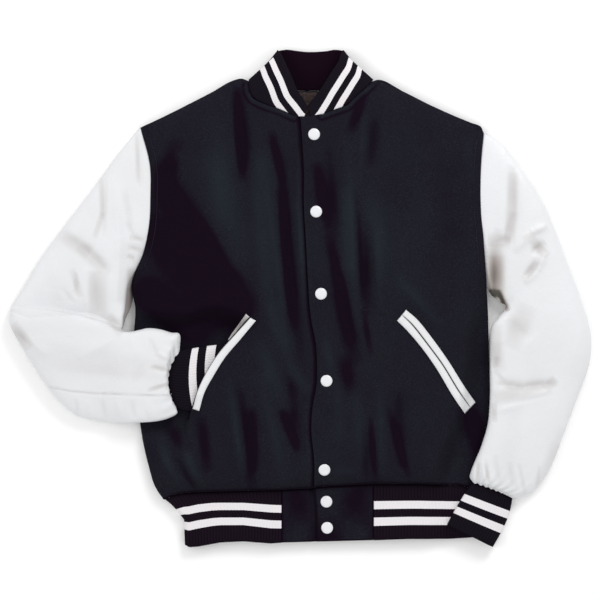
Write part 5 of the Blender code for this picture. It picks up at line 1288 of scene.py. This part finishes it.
cuff("rib_cuff_left", "cuff_left", LEFT_CUFF, -1, ((0.30, 0.42), (0.56, 0.71)))
cuff("rib_cuff_right", "cuff_right", RIGHT_CUFF, 1, ((0.28, 0.43), (0.57, 0.72)))


# ---------------------------------------------------------------- pocket welts
# Folded strips of the sleeves' white leather, edge-stitched along both lips of each slanted
# pocket.  The left pocket's back lip shows only above the cuff that goes into it.

WELT_THICK, WELT_LIFT, WELT_BASE, WELT_CROWN = 2.0, 0.56, 0.9, 1.5
WELT_STITCH, WELT_STITCH_LIFT, ROW_LENGTH, ROUND_END = 0.80, 0.12, 34.0, 3.0
WELT_ROWS, WELT_COLUMNS, CROWN_SQUARE = 110, 15, 4
WELT_WAVE, WELT_WAVES, WAVE_SLANT, STITCH_DIP, DIP_NARROW = 0.2, 9.0, 2.0, 0.35, 9.0
SLIT_SHADE, SLIT_WIDTH, SLIT_RAMP, RIM_SHADE, RIM_WIDTH = 0.3, 0.10, 4.0, 0.08, 0.08
LEFT_FRONT_WELT = [
    # x1,   y1,   x2,   y2
    (-89.2, -25.6, -81, -30), (-112.6, -51.3, -103.5, -57), (-134.6, -76.3, -125.5, -83),
    (-152.6, -104.2, -142.5, -110), (-165.5, -131.2, -155.5, -134), (-173.4, -158, -163.5, -161),
]
LEFT_BACK_WELT = [
    # x1,   y1,   x2,   y2
    (-90.4, -24.4, -95.7, -20), (-101.8, -37.7, -105.9, -34.2), (-113.4, -50.8, -116.2, -48.2),
    (-121, -59, -122.2, -57.9),
]
RIGHT_UPPER_WELT = [
    # x1,   y1,   x2,   y2
    (130.2, -21.3, 136, -14), (147, -37, 154, -30), (168, -64, 176, -58), (190, -94, 198, -89),
    (212, -130, 220, -124), (230.6, -156.4, 238, -149),
]
RIGHT_LOWER_WELT = [
    # x1,   y1,   x2,   y2
    (130.1, -21.4, 123, -30), (146.2, -37.8, 139, -46), (167.2, -64.8, 160, -71),
    (189.2, -94.8, 181, -101), (211.2, -130.7, 203, -138), (230.4, -156.6, 222, -165),
]
WELT_LEATHER = leather("white welt leather")


def welt(name, cad_node, table, patches, extra_folds, tone=0.0):
    """A strip on the cloth's own height, crowned across by a flat root curve and rounded off
    at its two ends, with a dip, a bell, along its stitches.  Painted shade darkens it towards the slit and
    along its far rim, and the tone argument adds painted shade to the whole strip."""
    along = np.linspace(0, len(table) - 1, WELT_ROWS)
    fine = read_numbered(table, along)
    share = np.linspace(0, 1, WELT_COLUMNS)[:, None]
    x = fine[None, :, 0] * (1 - share) + fine[None, :, 2] * share
    y = fine[None, :, 1] * (1 - share) + fine[None, :, 3] * share
    end = np.minimum(along, along[-1] - along) * ROW_LENGTH
    crowned = np.clip(1 - np.abs(2 * share - 1) ** CROWN_SQUARE, 0, 1) ** 0.5
    rounded = np.clip(1 - (1 - np.clip(end / ROUND_END, 0, 1)) ** 2, 0, 1)[None] ** 0.5
    z = body_height(x, y, patches, extra_folds) + WELT_LIFT + WELT_BASE + WELT_CROWN * crowned * rounded
    z += (WELT_WAVE * np.sin(along[None] * WELT_WAVES + WAVE_SLANT * share)
          - STITCH_DIP * bell((share - WELT_STITCH) * DIP_NARROW, 1.0))
    points = np.dstack([x, y, z])
    faces = quads(numbered(z))
    a, b, c = points.reshape(-1, 3)[faces[0, :3]]
    faces = faces[:, ::-1] if np.cross(b - a, c - a)[2] < 0 else faces
    slit = SLIT_SHADE * bell(share, SLIT_WIDTH) * np.clip((end - ROUND_END) / SLIT_RAMP, 0, 1)
    made = piece(name, points, faces, WELT_LEATHER, WELT_THICK,
                 tone=tone - slit - RIM_SHADE * bell(share - 1, RIM_WIDTH))
    stitch = int(round(WELT_STITCH * (len(share) - 1)))
    sewn_on = []
    if tone == 0:
        line = points[stitch] + [0, 0, WELT_STITCH_LIFT]
        sewn_on = [stitches(name.replace("leather", "thread"), line, WHITE_THREAD)]
    worn(made, cad_node, sewn_on=sewn_on)


welt("leather_welt_left_front", "welt_left_front", LEFT_FRONT_WELT, (), POCKET_END_DIP)
# Painted shade over the whole back welt, which lies lower.
welt("leather_welt_left_back", "welt_left_back", LEFT_BACK_WELT, LEFT_PRESSED, POCKET_END_DIP,
     tone=-0.35)
welt("leather_welt_right_upper", "welt_right_upper", RIGHT_UPPER_WELT, RIGHT_PRESSED, ())
welt("leather_welt_right_lower", "welt_right_lower", RIGHT_LOWER_WELT, RIGHT_PRESSED, ())


# ---------------------------------------------------------------- snaps
# White enamelled snap caps, pressed through the upper front and the waistband tab.

SNAP_RADIUS, SNAP_HEIGHT, SNAP_LIFT, SNAP_SEGMENTS = 8.5, 2.6, 0.1, 64
ENAMEL_WHITE, ENAMEL_PALE, ENAMEL_SHADE = (0.74, 0.75, 0.77), (0.76, 0.77, 0.79), (0.71, 0.71, 0.74)
ENAMEL_COAT = 0.4
SNAPS = [
    # name,   x,    y
    ("snap_1", 3, 240), ("snap_2", 6, 128), ("snap_3", 13, 9), ("snap_4", 21, -117),
    ("snap_5", 18, -246), ("snap_6", 21, -293), ("snap_7", 22, -331),
]
SNAP_PROFILE = [
    # share of the height, share of the radius
    (1.0, 0.0), (0.99, 0.2), (0.95, 0.45), (0.88, 0.62), (0.76, 0.76), (0.58, 0.88), (0.42, 0.95),
    (0.28, 0.99), (0.17, 1.0), (0.06, 0.99), (0.0, 0.93), (0.0, 0.0),
]


def enamel():
    """White enamel over a pressed cap: glossy, with a trace of scuffing."""
    made, tree, shader = painted("white snap enamel", ENAMEL_WHITE, roughness=0.25)
    scuff = noise(tree, object_place(tree), 420.0, detail=4.0)
    joined(tree, shader.inputs["Roughness"], scaled(tree, scuff, factor=0.25, start=0.14))
    joined(tree, shader.inputs["Base Color"], mixed(tree, scuff, ENAMEL_PALE, ENAMEL_SHADE))
    shader.inputs["Coat Weight"].default_value = ENAMEL_COAT
    return made


ENAMEL = enamel()
cap = turned_points(np.array(SNAP_PROFILE) * (SNAP_HEIGHT, SNAP_RADIUS), SNAP_SEGMENTS)
cap_faces = turned_faces(len(SNAP_PROFILE) - 2, SNAP_SEGMENTS)
rim_turn = np.linspace(0, 2 * math.pi, SNAP_SEGMENTS, endpoint=False)
rim = np.array([np.cos(rim_turn), np.sin(rim_turn)])
for snap_name, x, y in SNAPS:
    height, slope = HEM_TOP + TAB_LIFT, np.zeros(2)
    if y > TAB_SEAM_Y:
        rim_z = body_height(x + SNAP_RADIUS * rim[0], y + SNAP_RADIUS * rim[1], RIGHT_PRESSED)
        slope = 2 * (rim_z * rim).mean(axis=1) / SNAP_RADIUS
        height = max(rim_z.mean(), body_height([x], [y], RIGHT_PRESSED)[0]) + SNAP_LIFT
    normal = np.append(-slope, 1.0) / np.linalg.norm(np.append(slope, 1.0))
    side_axis = np.cross([0.0, 1.0, 0.0], normal)
    side_axis /= np.linalg.norm(side_axis)
    placed_cap = cap @ np.array([normal, side_axis, np.cross(normal, side_axis)]) + [x, y, height]
    snap = piece("enamel_" + snap_name, placed_cap, cap_faces, ENAMEL)
    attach(snap, "root")
    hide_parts(snap_name)
